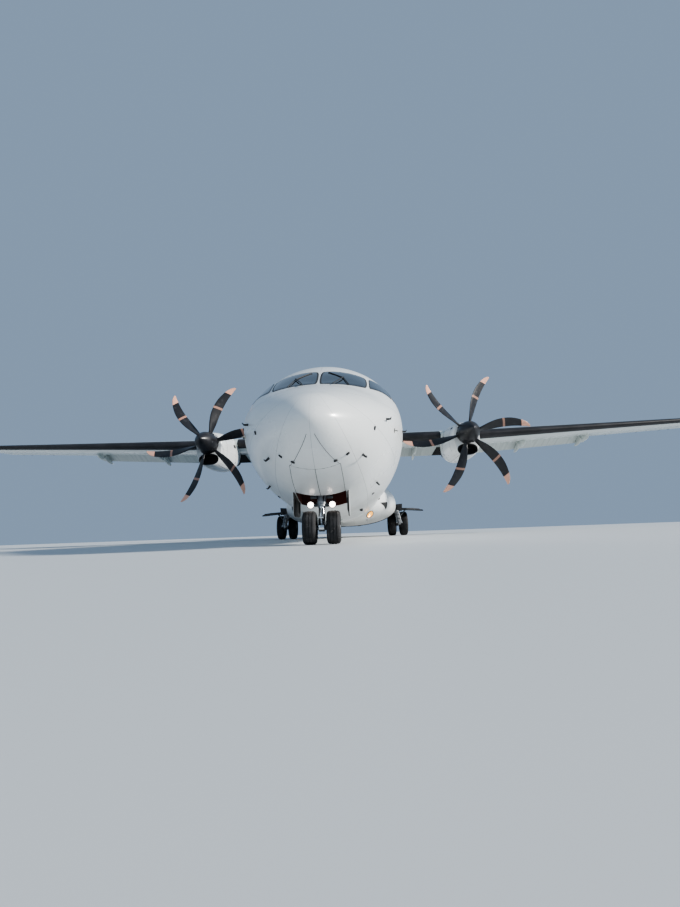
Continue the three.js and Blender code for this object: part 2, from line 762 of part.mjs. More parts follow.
for (const [sideName, side] of Object.entries(SIDES)) {
  for (const place of ['inner', 'outer']) {
    const span = FLAP[place];
    const rings = span.map((distance) => {
      const foil = wingAt(distance);
      return wingRing(flapOutline(foil), foil, distance * side);
    });
    const pods = FLAP_FAIRING.stations[place].map((distance) => hingePod(distance, side, true));
    const start = flapHinge(span[0], side);
    const axis = flapHinge(span[1], side).sub(start).normalize();
    const group = groupAt(start.toArray());
    group.quaternion.setFromAxisAngle(axis, -side * THREE.MathUtils.degToRad(FLAP.angle));
    const shape = union(loft(rings, 0), ...pods).translate(start.clone().negate().toArray());
    piece(`flap_${place}_${SIDE_WORD[sideName]}`, shape, 'greyWhite', group);
  }
  const rings = [AILERON.inner, AILERON.outer].map((distance) => {
    const foil = wingAt(distance);
    return wingRing(hingedOutline(foil, AILERON.hinge), foil, distance * side);
  });
  piece(`aileron_${SIDE_WORD[sideName]}`, loft(rings, 0), 'greyWhite');
}

// Nacelles, engines and exhausts

for (const [sideName, side] of Object.entries(SIDES)) {
  const word = SIDE_WORD[sideName];
  const x = ENGINE_X * side;
  const { intake } = NACELLE;
  const { from, to, width, bottom, top, shaftRadius, shaftFront } = ENGINE;
  const middle = PROPELLER.height;
  const blockBox = (grow) => box(
    [x - width / 2 - grow, from - grow, bottom - grow],
    [x + width / 2 + grow, to + grow, top + grow],
  );
  const shaft = (grow, start) => bar([x, start, middle], [x, from + 50, middle], shaftRadius + grow, 20);
  const engine = blockBox(0).add(shaft(0, shaftFront));

  const nacelleFront = NACELLE.sections[0].station;
  const mouthSections = [nacelleFront - 150, nacelleFront + intake.depth].map((station) => ({
    station,
    bottom: intake.height - intake.halfHeight,
    waist: intake.height,
    top: intake.height + intake.halfHeight,
    halfWidth: intake.halfWidth,
  }));
  const intakeHole = body(mouthSections, { sides: 24, x });

  const pipe = (radius, start, end) => {
    const geometry = new THREE.CylinderGeometry(radius, radius, end - start, 24);
    geometry.scale(1, 1, EXHAUST.flatten);
    return solid(geometry.translate(x, (start + end) / 2, EXHAUST.height));
  };
  const { radius: pipeRadius, wall, from: pipeFrom, to: pipeTo } = EXHAUST;

  let nacelle = body(NACELLE.sections, { ...NACELLE, x }).subtract(wingCentreRoom);
  nacelle = nacelle.subtract(blockBox(2)).subtract(shaft(6, PROPELLER.station)).subtract(intakeHole);
  nacelle = nacelle.subtract(pipe(pipeRadius + TOUCH, pipeFrom - TOUCH, pipeTo + 100));
  piece(`nacelle_${word}`, largest(nacelle), 'white');
  piece(`engine_${word}`, engine, 'engine');
  const pipeRoom = pipe(pipeRadius - wall, pipeFrom + 40, pipeTo + 50);
  const exhaust = pipe(pipeRadius, pipeFrom, pipeTo).subtract(pipeRoom);
  piece(`exhaust_${word}`, exhaust.subtract(wingCentreRoom), 'hotSteel');
}

// Propellers: six swept blades on a hub, and the spinner ahead of them

function blade() {
  const rings = BLADE.map(({ radius, chord, thickness, pitch, sweep }) => {
    const turn = THREE.MathUtils.degToRad(pitch);
    const outline = [[-0.5, 0], [-0.22, 0.5], [0.2, 0.4], [0.5, 0], [0.2, -0.4], [-0.22, -0.5]];
    return outline.map(([along, out]) => {
      const [a, b] = [along * chord + sweep, out * thickness];
      return [radius, a * Math.sin(turn) + b * Math.cos(turn), b * Math.sin(turn) - a * Math.cos(turn)];
    });
  });
  return loft(rings, 0);
}

function propeller() {
  const { hub, blades, restTurn } = PROPELLER;
  let shape = bar([0, hub.from, 0], [0, hub.to, 0], hub.radius, 24);
  for (let k = 0; k < blades; k += 1) {
    shape = shape.add(blade().rotate([0, -restTurn - (360 / blades) * k, 0]));
  }
  const boreFront = ENGINE.shaftFront - PROPELLER.station - 5;
  return shape.subtract(bar([0, boreFront, 0], [0, 400, 0], ENGINE.shaftRadius + hub.boreGap, 20));
}

function spinner() {
  const { hub, spinnerLength } = PROPELLER;
  const profile = [new THREE.Vector2(0, 0), new THREE.Vector2(hub.radius, 0)];
  const steps = 7;
  for (let k = 1; k <= steps; k += 1) {
    const t = k / steps;
    profile.push(new THREE.Vector2(hub.radius * (1 - t ** 2) ** 0.85, spinnerLength * t));
  }
  return solid(new THREE.LatheGeometry(profile, 24).rotateX(Math.PI));
}

for (const [sideName, side] of Object.entries(SIDES)) {
  const word = SIDE_WORD[sideName];
  const group = groupAt([ENGINE_X * side, PROPELLER.station, PROPELLER.height]);
  piece(`propeller_blades_${word}`, propeller(), 'black', group);
  const cone = piece(`spinner_${word}`, spinner(), 'black', group);
  cone.position.y = PROPELLER.hub.from - TOUCH;
}

// Fin, dorsal fin and rudder: sections across the height

function finAt(height) {
  const part = (height - FIN.bottom.height) / (FIN.top.height - FIN.bottom.height);
  const blend = (key) => THREE.MathUtils.lerp(FIN.bottom[key], FIN.top[key], part);
  const leading = blend('leading');
  return { leading, chord: blend('trailing') - leading, thickness: blend('thickness'), camber: 0 };
}
function finRing(outline, foil, height) {
  return outline.map(([f, h]) => [h * foil.chord, foil.leading + f * foil.chord, height]);
}
const finRings = [FIN.bottom.height, FIN.top.height].map((height) => {
  const foil = finAt(height);
  return finRing(foilOutline(foil, hingeCut(foil, FIN.rudderHinge)), foil, height);
});
const dorsal = body(FIN.dorsal, { sides: 12, power: 1.6 });
const finBody = loft(finRings, 2).add(dorsal);
piece('fin', largest(finBody.subtract(fuselageRoom)), 'composite');

const rudderRings = FIN.rudder.map((height) => {
  const foil = finAt(height);
  return finRing(hingedOutline(foil, FIN.rudderHinge), foil, height);
});
piece('rudder', loft(rudderRings, 2), 'composite');

// Tailplane with its bullet, and elevators

function tailAt(distance) {
  const part = distance / TAILPLANE.tip.halfSpan;
  const blend = (key) => THREE.MathUtils.lerp(TAILPLANE.root[key], TAILPLANE.tip[key], part);
  const leading = blend('leading');
  return {
    leading,
    chord: blend('trailing') - leading,
    thickness: blend('thickness'),
    camber: 0,
    base: TAILPLANE.height,
  };
}
const tailRings = [];
{
  const { tip, elevator, elevatorHinge } = TAILPLANE;
  const cut = hingeCut(tailAt((elevator[0] + elevator[1]) / 2), elevatorHinge);
  const half = [
    [elevator[0] - 12, {}, 0], [elevator[0] - 10, cut, 0], [elevator[1] + 12, cut, 0],
    [elevator[1] + 14, {}, 0], [tip.halfSpan - 70, {}, 0], [tip.halfSpan, {}, 0.35],
  ];
  const ringAt = ([distance, ends, shrink], side) => {
    const foil = tailAt(distance);
    return wingRing(foilOutline(foil, ends), foil, distance * side, { shrink });
  };
  for (const row of [...half].reverse()) tailRings.push(ringAt(row, -1));
  for (const row of half) tailRings.push(ringAt(row, 1));
}
const bullet = body(TAILPLANE.bullet, { sides: 14 });
const finRoom = loft([FIN.bottom.height, FIN.top.height + TOUCH].map((height) => {
  const foil = finAt(height);
  const ring = finRing(foilOutline(foil, hingeCut(foil, FIN.rudderHinge)), foil, height);
  const middle = foil.leading + foil.chord * 0.4;
  return ring.map(([x, station, z]) => [
    x + Math.sign(x) * TOUCH,
    station + Math.sign(station - middle) * TOUCH,
    z,
  ]);
}), 2);
piece('tailplane', largest(loft(tailRings, 0).add(bullet).subtract(finRoom)), 'composite');
for (const [sideName, side] of Object.entries(SIDES)) {
  const rings = TAILPLANE.elevator.map((distance) => {
    const foil = tailAt(distance);
    return wingRing(hingedOutline(foil, TAILPLANE.elevatorHinge), foil, distance * side);
  });
  piece(`elevator_${SIDE_WORD[sideName]}`, loft(rings, 0), 'composite');
}

// Wheels: a tyre and a rim, turned about the axle, with a flat of the tyre on the floor

function aboutX(profile) {
  const points = profile.map(([r, x]) => new THREE.Vector2(r, x));
  const turned = new THREE.LatheGeometry(points, WHEEL_SEGMENTS, Math.PI / WHEEL_SEGMENTS);
  return solid(turned.rotateZ(-Math.PI / 2));
}
function tyre({ radius, width, rimRadius }) {
  const half = width / 2;
  const inside = rimRadius + TOUCH;
  const side = inside + (radius - inside) * 0.5;
  const tread = radius / Math.cos(Math.PI / WHEEL_SEGMENTS);
  return aboutX([
    [inside, -half * 0.62], [side, -half], [tread - 22, -half * 0.78], [tread, -half * 0.42],
    [tread, half * 0.42], [tread - 22, half * 0.78], [side, half], [inside, half * 0.62],
    [inside, -half * 0.62],
  ]);
}
function rim({ width, rimRadius, boreRadius }, side) {
  const half = (width / 2) * 0.62;
  const out = side * half;
  return aboutX([
    [boreRadius, -out], [rimRadius, -out], [rimRadius, out], [rimRadius * 0.84, out],
    [rimRadius * 0.74, out * 0.5], [rimRadius * 0.4, out * 0.6], [boreRadius, out], [boreRadius, -out],
  ]);
}
function wheelPair(prefix, suffix, wheel, group) {
  for (const [place, side] of [['port', 1], ['starboard', -1]]) {
    const at = groupAt([wheel.offset * side, 0, 0], group);
    piece(`${prefix}_tyre_${place}${suffix}`, tyre(wheel), 'rubber', at);
    piece(`${prefix}_rim_${place}${suffix}`, rim(wheel, side), 'rim', at);
  }
}

// Main gear: leg, trailing arm and axle; shock absorber; door on the leg

for (const [sideName, side] of Object.entries(SIDES)) {
  const word = SIDE_WORD[sideName];
  const { axle, pivot, collar, knee, legRadius, armRadius, trunnion, shock } = MAIN_GEAR;
  const at = (point) => mirrored(point, side);
  const axleCentre = [MAIN_GEAR.x, axle.station, axle.height];
  const { slot, slotFit, roof } = MAIN_WELL;
  const middle = [0, 1].map((k) => slot.reduce((sum, corner) => sum + corner[k] / slot.length, 0));
  const slotRoom = prism(slot.map((corner) => [
    (middle[0] + (corner[0] - middle[0]) * slotFit) * side,
    middle[1] + (corner[1] - middle[1]) * slotFit,
  ]), 'z', 0, roof);
  const legParts = (grow) => union(
    bar(at(trunnion.from), at(trunnion.to), trunnion.radius + grow).intersect(slotRoom),
    bar(at(pivot), at(collar), legRadius + grow),
    ball(at(collar), legRadius + grow),
    bar(at(collar), at(knee), legRadius + grow),
    ball(at(knee), legRadius + grow),
    bar(at(knee), at(axleCentre), armRadius + grow),
    bar(at([trunnion.from[0], pivot[1], trunnion.from[2]]), at(pivot), legRadius * 0.9 + grow),
    bar(
      at([axleCentre[0] - axle.halfLength, axle.station, axle.height]),
      at([axleCentre[0] + axle.halfLength, axle.station, axle.height]),
      axle.radius + grow,
    ),
  );
  const shockShape = union(
    bar(at(shock.top), at(shock.bottom), shock.radius),
    bar(at(shock.top), at(shock.top.map((v, k) => v + (shock.bottom[k] - v) * 0.55)), shock.lugRadius),
  );
  piece(`main_leg_${word}`, legParts(0), 'gearMetal');
  piece(`main_shock_${word}`, largest(shockShape.subtract(legParts(TOUCH))), 'rim');

  const { outline, height, thickness, droop, struts, strutRadius } = GEAR_DOOR;
  const plate = prism(outline.map(([x, station]) => [x * side, station]), 'z', -thickness / 2, thickness / 2)
    .translate([-outline[0][0] * side, 0, 0])
    .rotate([0, droop * side, 0])
    .translate([outline[0][0] * side, 0, height]);
  const strutBars = struts.map(([from, to]) => bar(at(from), at(to), strutRadius));
  piece(`main_gear_door_${word}`, largest(union(plate, ...strutBars).subtract(legParts(TOUCH))), 'black');

  const wheels = groupAt(at(axleCentre));
  wheelPair('main', `_${word}`, MAIN_WHEEL, wheels);
}

// Nose gear: leg, brace and doors on the fuselage; fork that steers; wheels

const noseAxle = [0, NOSE_GEAR.axle.station, NOSE_GEAR.axle.height];
const rake = new THREE.Vector3(...NOSE_GEAR.top).sub(new THREE.Vector3(...noseAxle)).normalize();
const alongRake = (height) => new THREE.Vector3(...noseAxle)
  .addScaledVector(rake, (height - noseAxle[2]) / rake.z)
  .toArray();
const { collarHeight, legRadius: noseLegRadius, pistonRadius, brace, door: noseDoor } = NOSE_GEAR;
const aboveRoof = box([-500, 1000, NOSE_BAY.roof - TOUCH], [500, 3000, 2000]);
const noseLegBar = (grow) => bar(alongRake(collarHeight), NOSE_GEAR.top, noseLegRadius + grow, 16);
piece('nose_leg', noseLegBar(0).subtract(aboveRoof), 'gearMetal');
const noseBrace = bar(brace.from, brace.to, brace.radius).subtract(noseLegBar(TOUCH)).subtract(aboveRoof);
piece('nose_brace', largest(noseBrace), 'gearMetal');
for (const [sideName, side] of Object.entries(SIDES)) {
  const { inner, thickness, from, to, bottom } = noseDoor;
  const inside = inner * side;
  const outside = (inner + thickness) * side;
  const plate = box(
    [Math.min(inside, outside), from, bottom],
    [Math.max(inside, outside), to, 900],
  );
  piece(`nose_door_${SIDE_WORD[sideName]}`, largest(plate.subtract(fuselageRoom)), 'greyWhite');
}
for (const [sideName, side] of Object.entries(SIDES)) {
  const { x, height, radius, from, to, armRadius } = TAXI_LAMP;
  const lamp = bar([x * side, from, height], [x * side, to, height], radius, 20);
  const armStation = to - armRadius;
  const arm = bar([0, armStation, height], [x * side, armStation, height], armRadius, 12);
  const clearSide = union(lamp, arm).subtract(noseLegBar(TOUCH));
  piece(`taxi_lamp_${SIDE_WORD[sideName]}`, largest(clearSide), 'lamp');
}
const axleHalf = NOSE_GEAR.axle.halfLength;
const fork = union(
  bar(noseAxle, alongRake(collarHeight - 2), pistonRadius, 20),
  bar([-axleHalf, noseAxle[1], noseAxle[2]], [axleHalf, noseAxle[1], noseAxle[2]], NOSE_GEAR.axle.radius, 16),
  box([-42, noseAxle[1] - 120, noseAxle[2] - 34], [42, noseAxle[1], noseAxle[2] + 34]),
);
piece('nose_fork', fork, 'gearMetal');
wheelPair('nose', '', NOSE_WHEEL, groupAt(noseAxle));

// Beacon: a dome below the keel
{
  const { station, radius, drop, segments } = BEACON;
  const keel = FUSELAGE.axisHeight - FUSELAGE.radius;
  const dome = ball([0, 0, 0], radius, segments).scale([1, 1, drop / radius]).translate([0, station, keel]);
  piece('beacon_lamp', largest(dome.subtract(fuselageRoom)), 'paleLamp');
}

export default aircraft;
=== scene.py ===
"""Dresses a parked regional turboprop airliner: skins, glass, gear, lamps and paint.

Metres in the row frame: nose toward -Y, port wing toward +X, the floor at Z = 0.
"Station" is the distance aft of the nose tip. Angles round a hull are in degrees: 0 is the
port waist, 90 the top, 180 the starboard waist and 270 the keel.
"""

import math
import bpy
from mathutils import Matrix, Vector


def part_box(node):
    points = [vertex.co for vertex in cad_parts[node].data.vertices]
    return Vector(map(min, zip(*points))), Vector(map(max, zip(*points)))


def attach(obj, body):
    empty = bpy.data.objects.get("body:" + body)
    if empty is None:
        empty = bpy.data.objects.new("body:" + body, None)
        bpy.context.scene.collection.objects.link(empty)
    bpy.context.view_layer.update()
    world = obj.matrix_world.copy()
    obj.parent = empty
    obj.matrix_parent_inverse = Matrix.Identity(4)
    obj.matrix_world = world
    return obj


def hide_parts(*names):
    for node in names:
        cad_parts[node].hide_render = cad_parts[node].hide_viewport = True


bl_info = {
    "name": "Parked Turboprop Airliner",
    "version": (1, 0, 0),
    "blender": (4, 5, 0),
    "location": "3D View > Sidebar > Airliner",
    "description": "Dresses the frame of a parked turboprop airliner",
    "category": "Object",
}

import bmesh
import bpy
import numpy as np
from bpy.props import FloatProperty, FloatVectorProperty, IntProperty, PointerProperty
from mathutils import Matrix, Vector

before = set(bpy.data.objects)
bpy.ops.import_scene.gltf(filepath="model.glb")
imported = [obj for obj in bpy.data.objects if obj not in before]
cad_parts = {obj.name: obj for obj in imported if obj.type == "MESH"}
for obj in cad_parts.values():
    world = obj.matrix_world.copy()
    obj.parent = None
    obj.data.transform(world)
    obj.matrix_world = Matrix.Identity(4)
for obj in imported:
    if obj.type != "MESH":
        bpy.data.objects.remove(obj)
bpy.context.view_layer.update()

# Driving sizes
LENGTH, HALF_SPAN = 27.166, 13.525
ENGINE_X, PROP_STATION, PROP_HEIGHT = 4.05, 9.00, 3.07
AXIS_HEIGHT, RADIUS = 1.90, 1.4325
SIDES = (("left", 1), ("right", -1))
# An angle round a hull as it stands on the port side, and mirrored to starboard
TO_PORT_AND_STARBOARD = (lambda angle: angle, lambda angle: 180 - angle)
SHARP_EDGE = math.radians(32)
OPEN = (False, False)
X = Vector((1, 0, 0))

# Rows of each hull: station, bottom, waist, top, half width
FUSELAGE_ROWS = (
    (0.0, 1.42, 1.42, 1.42, 0.0),
    (0.06, 1.285, 1.42, 1.555, 0.19),
    (0.25, 1.1, 1.43, 1.735, 0.41),
    (0.5, 0.965, 1.475, 1.865, 0.61),
    (1.0, 0.78, 1.59, 2.09, 0.88),
    (1.5, 0.66, 1.7, 2.29, 1.07),
    (2.0, 0.58, 1.785, 2.61, 1.2),
    (2.5, 0.532, 1.84, 2.905, 1.29),
    (3.0, 0.504, 1.87, 3.11, 1.355),
    (3.6, 0.484, 1.89, 3.235, 1.4),
    (4.2, 0.472, 1.898, 3.305, 1.425),
    (5.0, 0.4675, 1.9, 3.3325, 1.4325),
    (11.0, 0.4675, 1.9, 3.3325, 1.4325),
    (17.5, 0.4675, 1.9, 3.3325, 1.4325),
    (18.3, 0.505, 1.915, 3.3325, 1.43),
    (19.1, 0.61, 1.96, 3.3325, 1.415),
    (20.0, 0.79, 2.04, 3.3325, 1.345),
    (21.0, 1.04, 2.15, 3.331, 1.195),
    (22.2, 1.37, 2.31, 3.322, 0.99),
    (23.8, 1.835, 2.52, 3.29, 0.7),
    (25.4, 2.31, 2.72, 3.215, 0.385),
    (26.6, 2.66, 2.84, 3.08, 0.165),
    (27.1, 2.8, 2.868, 2.95, 0.055),
    (LENGTH, 2.868, 2.868, 2.868, 0.0),
)
BELLY_ROWS = (
    (8.85, 0.62, 1.15, 1.6, 1.13),
    (9.4, 0.52, 1.12, 1.78, 1.47),
    (10.0, 0.455, 1.09, 1.88, 1.69),
    (11.0, 0.4, 1.06, 1.96, 1.89),
    (12.0, 0.385, 1.05, 1.99, 1.96),
    (12.8, 0.385, 1.05, 1.98, 1.955),
    (13.6, 0.4, 1.065, 1.92, 1.85),
    (14.4, 0.43, 1.095, 1.8, 1.61),
    (15.0, 0.465, 1.125, 1.7, 1.37),
    (15.4, 0.52, 1.15, 1.6, 1.12),
)
CROWN_ROWS = (
    (9.5, 2.9, 3.15, 3.32, 0.5),
    (10.0, 2.8, 3.12, 3.47, 0.9),
    (10.6, 2.75, 3.11, 3.66, 1.23),
    (11.2, 2.72, 3.11, 3.77, 1.38),
    (12.2, 2.72, 3.11, 3.775, 1.4),
    (13.2, 2.72, 3.11, 3.72, 1.33),
    (14.0, 2.76, 3.11, 3.6, 1.12),
    (14.8, 2.8, 3.12, 3.45, 0.78),
    (15.3, 2.9, 3.15, 3.325, 0.48),
)
NACELLE_ROWS = (
    (9.15, 2.37, 2.99, 3.42, 0.4),
    (9.32, 2.345, 2.97, 3.475, 0.435),
    (9.65, 2.335, 2.955, 3.545, 0.455),
    (10.2, 2.345, 2.95, 3.625, 0.462),
    (11.0, 2.425, 2.99, 3.72, 0.45),
    (11.5, 2.56, 3.055, 3.745, 0.38),
    (11.9, 2.7, 3.11, 3.745, 0.305),
    (12.25, 2.83, 3.15, 3.74, 0.235),
)
DORSAL_ROWS = (
    (18.3, 3.2, 3.26, 3.336, 0.014),
    (19.6, 3.2, 3.3, 3.47, 0.04),
    (21.0, 3.2, 3.32, 3.68, 0.075),
    (22.2, 3.2, 3.35, 3.99, 0.115),
    (23.3, 3.2, 3.4, 4.56, 0.15),
    (24.0, 3.2, 3.4, 4.9, 0.12),
)
BULLET_ROWS = (
    (24.56, 7.39, 7.43, 7.465, 0.035),
    (24.85, 7.29, 7.415, 7.54, 0.125),
    (25.3, 7.19, 7.41, 7.615, 0.195),
    (25.9, 7.165, 7.41, 7.64, 0.205),
    (26.5, 7.165, 7.415, 7.605, 0.16),
    (27.1, 7.3, 7.43, 7.5, 0.05),
)


def st(station):
    """Y of a station."""
    return station - LENGTH / 2


def put(x, station, z):
    """Point at a distance to port, a station and a height."""
    return Vector((x, st(station), z))


def lerp(a, b, t):
    return a + (b - a) * t


def even(a, b, steps):
    """Even numbers from a to b."""
    return [lerp(a, b, k / steps) for k in range(steps + 1)]


def bend(value, power):
    """Signed power, for rounded sections fuller than an ellipse."""
    return math.copysign(abs(value) ** (2 / power), value)


def turns(count, shift=0.0, power=2.0):
    """Cosines and sines round a circle, or round a fuller oval."""
    angles = [2 * math.pi * (k + shift) / count for k in range(count)]
    return [(bend(math.cos(angle), power), bend(math.sin(angle), power)) for angle in angles]


def smooth(table, steps, first=None, last=None):
    """Centripetal Catmull-Rom curve through the rows of a table, with steps points from row to row."""
    table = np.array(table, float)
    first = 2 * table[0] - table[1] if first is None else first
    last = 2 * table[-1] - table[-2] if last is None else last
    rows = np.vstack([first, table, last])
    dense = []
    for i in range(len(table) - 1):
        p = rows[i : i + 4]
        t = [0.0]
        for k in range(3):
            t.append(t[-1] + max(np.linalg.norm(p[k + 1] - p[k]), 1e-6) ** 0.5)
        for step in range(steps):
            at = lerp(t[1], t[2], step / steps)
            a = [((t[k + 1] - at) * p[k] + (at - t[k]) * p[k + 1]) / (t[k + 1] - t[k]) for k in range(3)]
            b = [((t[k + 2] - at) * a[k] + (at - t[k]) * a[k + 1]) / (t[k + 2] - t[k]) for k in range(2)]
            dense.append(((t[2] - at) * b[0] + (at - t[1]) * b[1]) / (t[2] - t[1]))
    return np.array([*dense, table[-1]])


def curve(points, steps):
    """Smooth path through points."""
    return [Vector(row) for row in smooth([list(point) for point in points], steps)]


def middle_of(outline):
    return [sum(point[k] for point in outline) / len(outline) for k in (0, 1)]


def scaled(outline, by, middle=None):
    """A flat outline made larger or smaller about its middle."""
    middle = middle or middle_of(outline)
    return [tuple(m + (value - m) * by for m, value in zip(middle, point)) for point in outline]


def rounded(centre, size, power=4.0, count=28):
    """Outline with round corners about (station, angle), its size in stations and degrees."""
    return [(centre[0] + c * size[0] / 2, centre[1] + s * size[1] / 2) for c, s in turns(count, 0, power)]


def corners_cut(points, rounds, share):
    """Polygon with its corners rounded off."""
    for _ in range(rounds):
        cut = []
        for a, b in zip(points, points[1:] + points[:1]):
            cut += [tuple(lerp(u, v, t) for u, v in zip(a, b)) for t in (share, 1 - share)]
        points, share = cut, 0.25
    return points


def oval(centre, half_width, half_height, count=48, power=2.0):
    """Points of an upright oval in an XZ plane."""
    return [Vector(centre) + Vector((half_width * c, 0, half_height * s)) for c, s in turns(count, 0, power)]


class Hull:
    """A smooth body along Y through a table of sections, addressed by station and angle."""

    def __init__(self, rows, power=2.0, x=0.0, round_ends=False):
        self.power, self.x = power, x
        table = np.array(rows, float)
        ends = (None, None)
        if round_ends:
            ends = (self.turned(table[1], table[0]), self.turned(table[-2], table[-1]))
        self.dense = smooth(table, 8, *ends)

    @staticmethod
    def turned(row, tip):
        """A section seen through the tip, so that the end is round."""
        return np.array([row[0], 2 * tip[1] - row[1], tip[2], 2 * tip[3] - row[3], -row[4]])

    def row(self, station):
        return [np.interp(station, self.dense[:, 0], self.dense[:, k]) for k in range(1, 5)]

    def point(self, station, angle, grow=0.0):
        bottom, waist, top, half = self.row(station)
        c, s = math.cos(math.radians(angle)), math.sin(math.radians(angle))
        rise = top - waist if s > 0 else waist - bottom
        out, up = (half + grow) * bend(c, self.power), (rise + grow) * bend(s, self.power)
        return put(self.x + out, station, waist + up)

    def stud(self, station, angle, sunk):
        """A point in the skin, and the way out of it."""
        base = self.point(station, angle, -sunk)
        return base, (self.point(station, angle, 0.1) - base).normalized()

    def angle_at(self, station, height, side):
        """The angle where the side of the section reaches a height."""
        bottom, waist, top, _ = self.row(station)
        rise = top - waist if height > waist else waist - bottom
        part = max(-1.0, min(1.0, (height - waist) / rise))
        angle = math.degrees(math.asin(bend(part, 4 / self.power)))
        return angle if side > 0 else 180 - angle

    def angle_below(self, station, x):
        """The angle of the underside's point at a distance to port of the middle."""
        return 270 + math.degrees(math.asin(bend(x / self.row(station)[3], 4 / self.power)))

    def trace(self, path):
        """Points on the underside, through places as (station, distance to port of the middle)."""
        return [self.point(station, self.angle_below(station, x)) for station, x in smooth(path, 6)]

    def rings(self, sides):
        return [[self.point(row[0], 360 * j / sides) for j in range(sides)] for row in self.dense]


class Shape:
    """Faces added in the row frame, to become one piece. New points go through its matrix."""

    def __init__(self):
        self.mesh, self.finishes, self.matrix = bmesh.new(), [], Matrix()

    def slot(self, finish):
        if finish not in self.finishes:
            self.finishes.append(finish)
        return self.finishes.index(finish)

    def face(self, verts, slot):
        unique = list(dict.fromkeys(verts))
        if len(unique) < 3:
            return
        try:
            face = self.mesh.faces.new(unique)
        except ValueError:
            return
        face.material_index, face.smooth = slot, True

    def loft(self, rings, finish, closed=True, caps=(True, True)):
        """Skin through rings of points; closed joins each ring's ends, caps close the two ends."""
        slot = self.slot(finish)
        rows = [[self.mesh.verts.new(self.matrix @ Vector(point)) for point in ring] for ring in rings]
        size = len(rows[0])
        for low, high in zip(rows, rows[1:]):
            for j in range(size if closed else size - 1):
                k = (j + 1) % size
                self.face([low[j], low[k], high[k], high[j]], slot)
        for cap, row in zip(caps, (rows[0], rows[-1])):
            if cap:
                self.face(row, slot)

    def lathe(self, profile, origin, finish, axis="x", segments=48, turn=0.0, closed=False):
        """Profile of (radius, along) pairs turned about an axis through origin."""
        order = {"x": (2, 0, 1), "y": (1, 2, 0), "z": (0, 1, 2)}[axis]
        rings = []
        for radius, along in profile:
            points = [(radius * c, radius * s, along) for c, s in turns(segments, turn)]
            rings.append([Vector(origin) + Vector([point[k] for k in order]) for point in points])
        self.loft(rings + rings[:1] * closed, finish, caps=(not closed, not closed))

    def tube(self, path, radius, finish, sides=12):
        """Round bar along a path; radius is one number or one for each point."""
        points = [Vector(point) for point in path]
        radii = radius if isinstance(radius, (list, tuple)) else [radius] * len(points)
        normal, rings = None, []
        for i, point in enumerate(points):
            ahead = (points[min(i + 1, len(points) - 1)] - points[max(i - 1, 0)]).normalized()
            if normal is None:
                normal = ahead.orthogonal().normalized()
            normal = (normal - ahead * normal.dot(ahead)).normalized()
            other = ahead.cross(normal)
            rings.append([point + radii[i] * (normal * c + other * s) for c, s in turns(sides)])
        self.loft(rings, finish)

    def bar(self, a, b, radius, finish, sides=24, collars=(), grow=0.014, half=0.018):
        """Round bar with raised collars at parts of its length."""
        path, radii = [a], [radius]
        for part in collars:
            for shift, reach in ((-1.0, 0.0), (-0.9, grow), (0.9, grow), (1.0, 0.0)):
                path.append(a.lerp(b, part) + (b - a).normalized() * half * shift)
                radii.append(radius + reach)
        self.tube([*path, b], [*radii, radius], finish, sides)

    def pins(self, centre, radius, count, size, reach, finish, sides=6, turn=0.0):
        """Ring of round pins about an X axis; reach is their height along it."""
        for c, s in turns(count, turn):
            spot = centre + Vector((0, radius * c, radius * s))
            self.tube([spot, spot + X * reach], size, finish, sides)

    def hoop(self, path, radius, finish):
        """Round bar along a closed loop in an XZ plane."""
        normal, rings = Vector((0, 1, 0)), []
        for i, point in enumerate(path):
            ahead = (path[(i + 1) % len(path)] - path[i - 1]).normalized()
            out = ahead.cross(normal).normalized()
            rings.append([point + radius * (out * c + normal * s) for c, s in turns(10)])
        self.loft(rings + rings[:1], finish, caps=OPEN)

    def joints(self, hull, radius, *paths):
        """Thin dark lines under a hull, through places as (station, distance to port of the middle)."""
        for path in paths:
            self.tube(hull.trace(path), radius, "gap", 4)

    def wicks(self, tips, reach):
        """Static wicks on a trailing edge."""
        for tip in tips:
            self.tube([tip, tip + Vector(reach)], [0.005, 0.0025], "wick", 6)

    def soften(self, faces, bevel, slot):
        """Rounds the edges of new faces and gives them their finish."""
        if bevel:
            edges = {edge for face in faces for edge in face.edges}
            made = bmesh.ops.bevel(
                self.mesh, geom=list(edges), offset=bevel, segments=2, affect="EDGES", profile=0.5
            )
            faces = {face for face in faces if face.is_valid} | set(made["faces"])
        for face in faces:
            face.material_index, face.smooth = slot, True

    def block(self, low, high, finish, bevel=0.0):
        """Box between two corners."""
        low, high = Vector(low), Vector(high)
        matrix = self.matrix @ Matrix.Translation((low + high) / 2) @ Matrix.Diagonal((*(high - low), 1.0))
        made = bmesh.ops.create_cube(self.mesh, size=1.0, matrix=matrix)["verts"]
        self.soften({face for vert in made for face in vert.link_faces}, bevel, self.slot(finish))

    def prism(self, outline, axis, low, high, finish, bevel=0.0):
        """Plate of an outline, between two places along an axis."""
        order = {"x": (2, 0, 1), "y": (0, 2, 1), "z": (0, 1, 2)}[axis]
        before = set(self.mesh.faces)
        rings = [[Vector([(u, v, reach)[k] for k in order]) for u, v in outline] for reach in (low, high)]
        self.loft(rings, finish)
        self.soften(set(self.mesh.faces) - before, bevel, self.slot(finish))

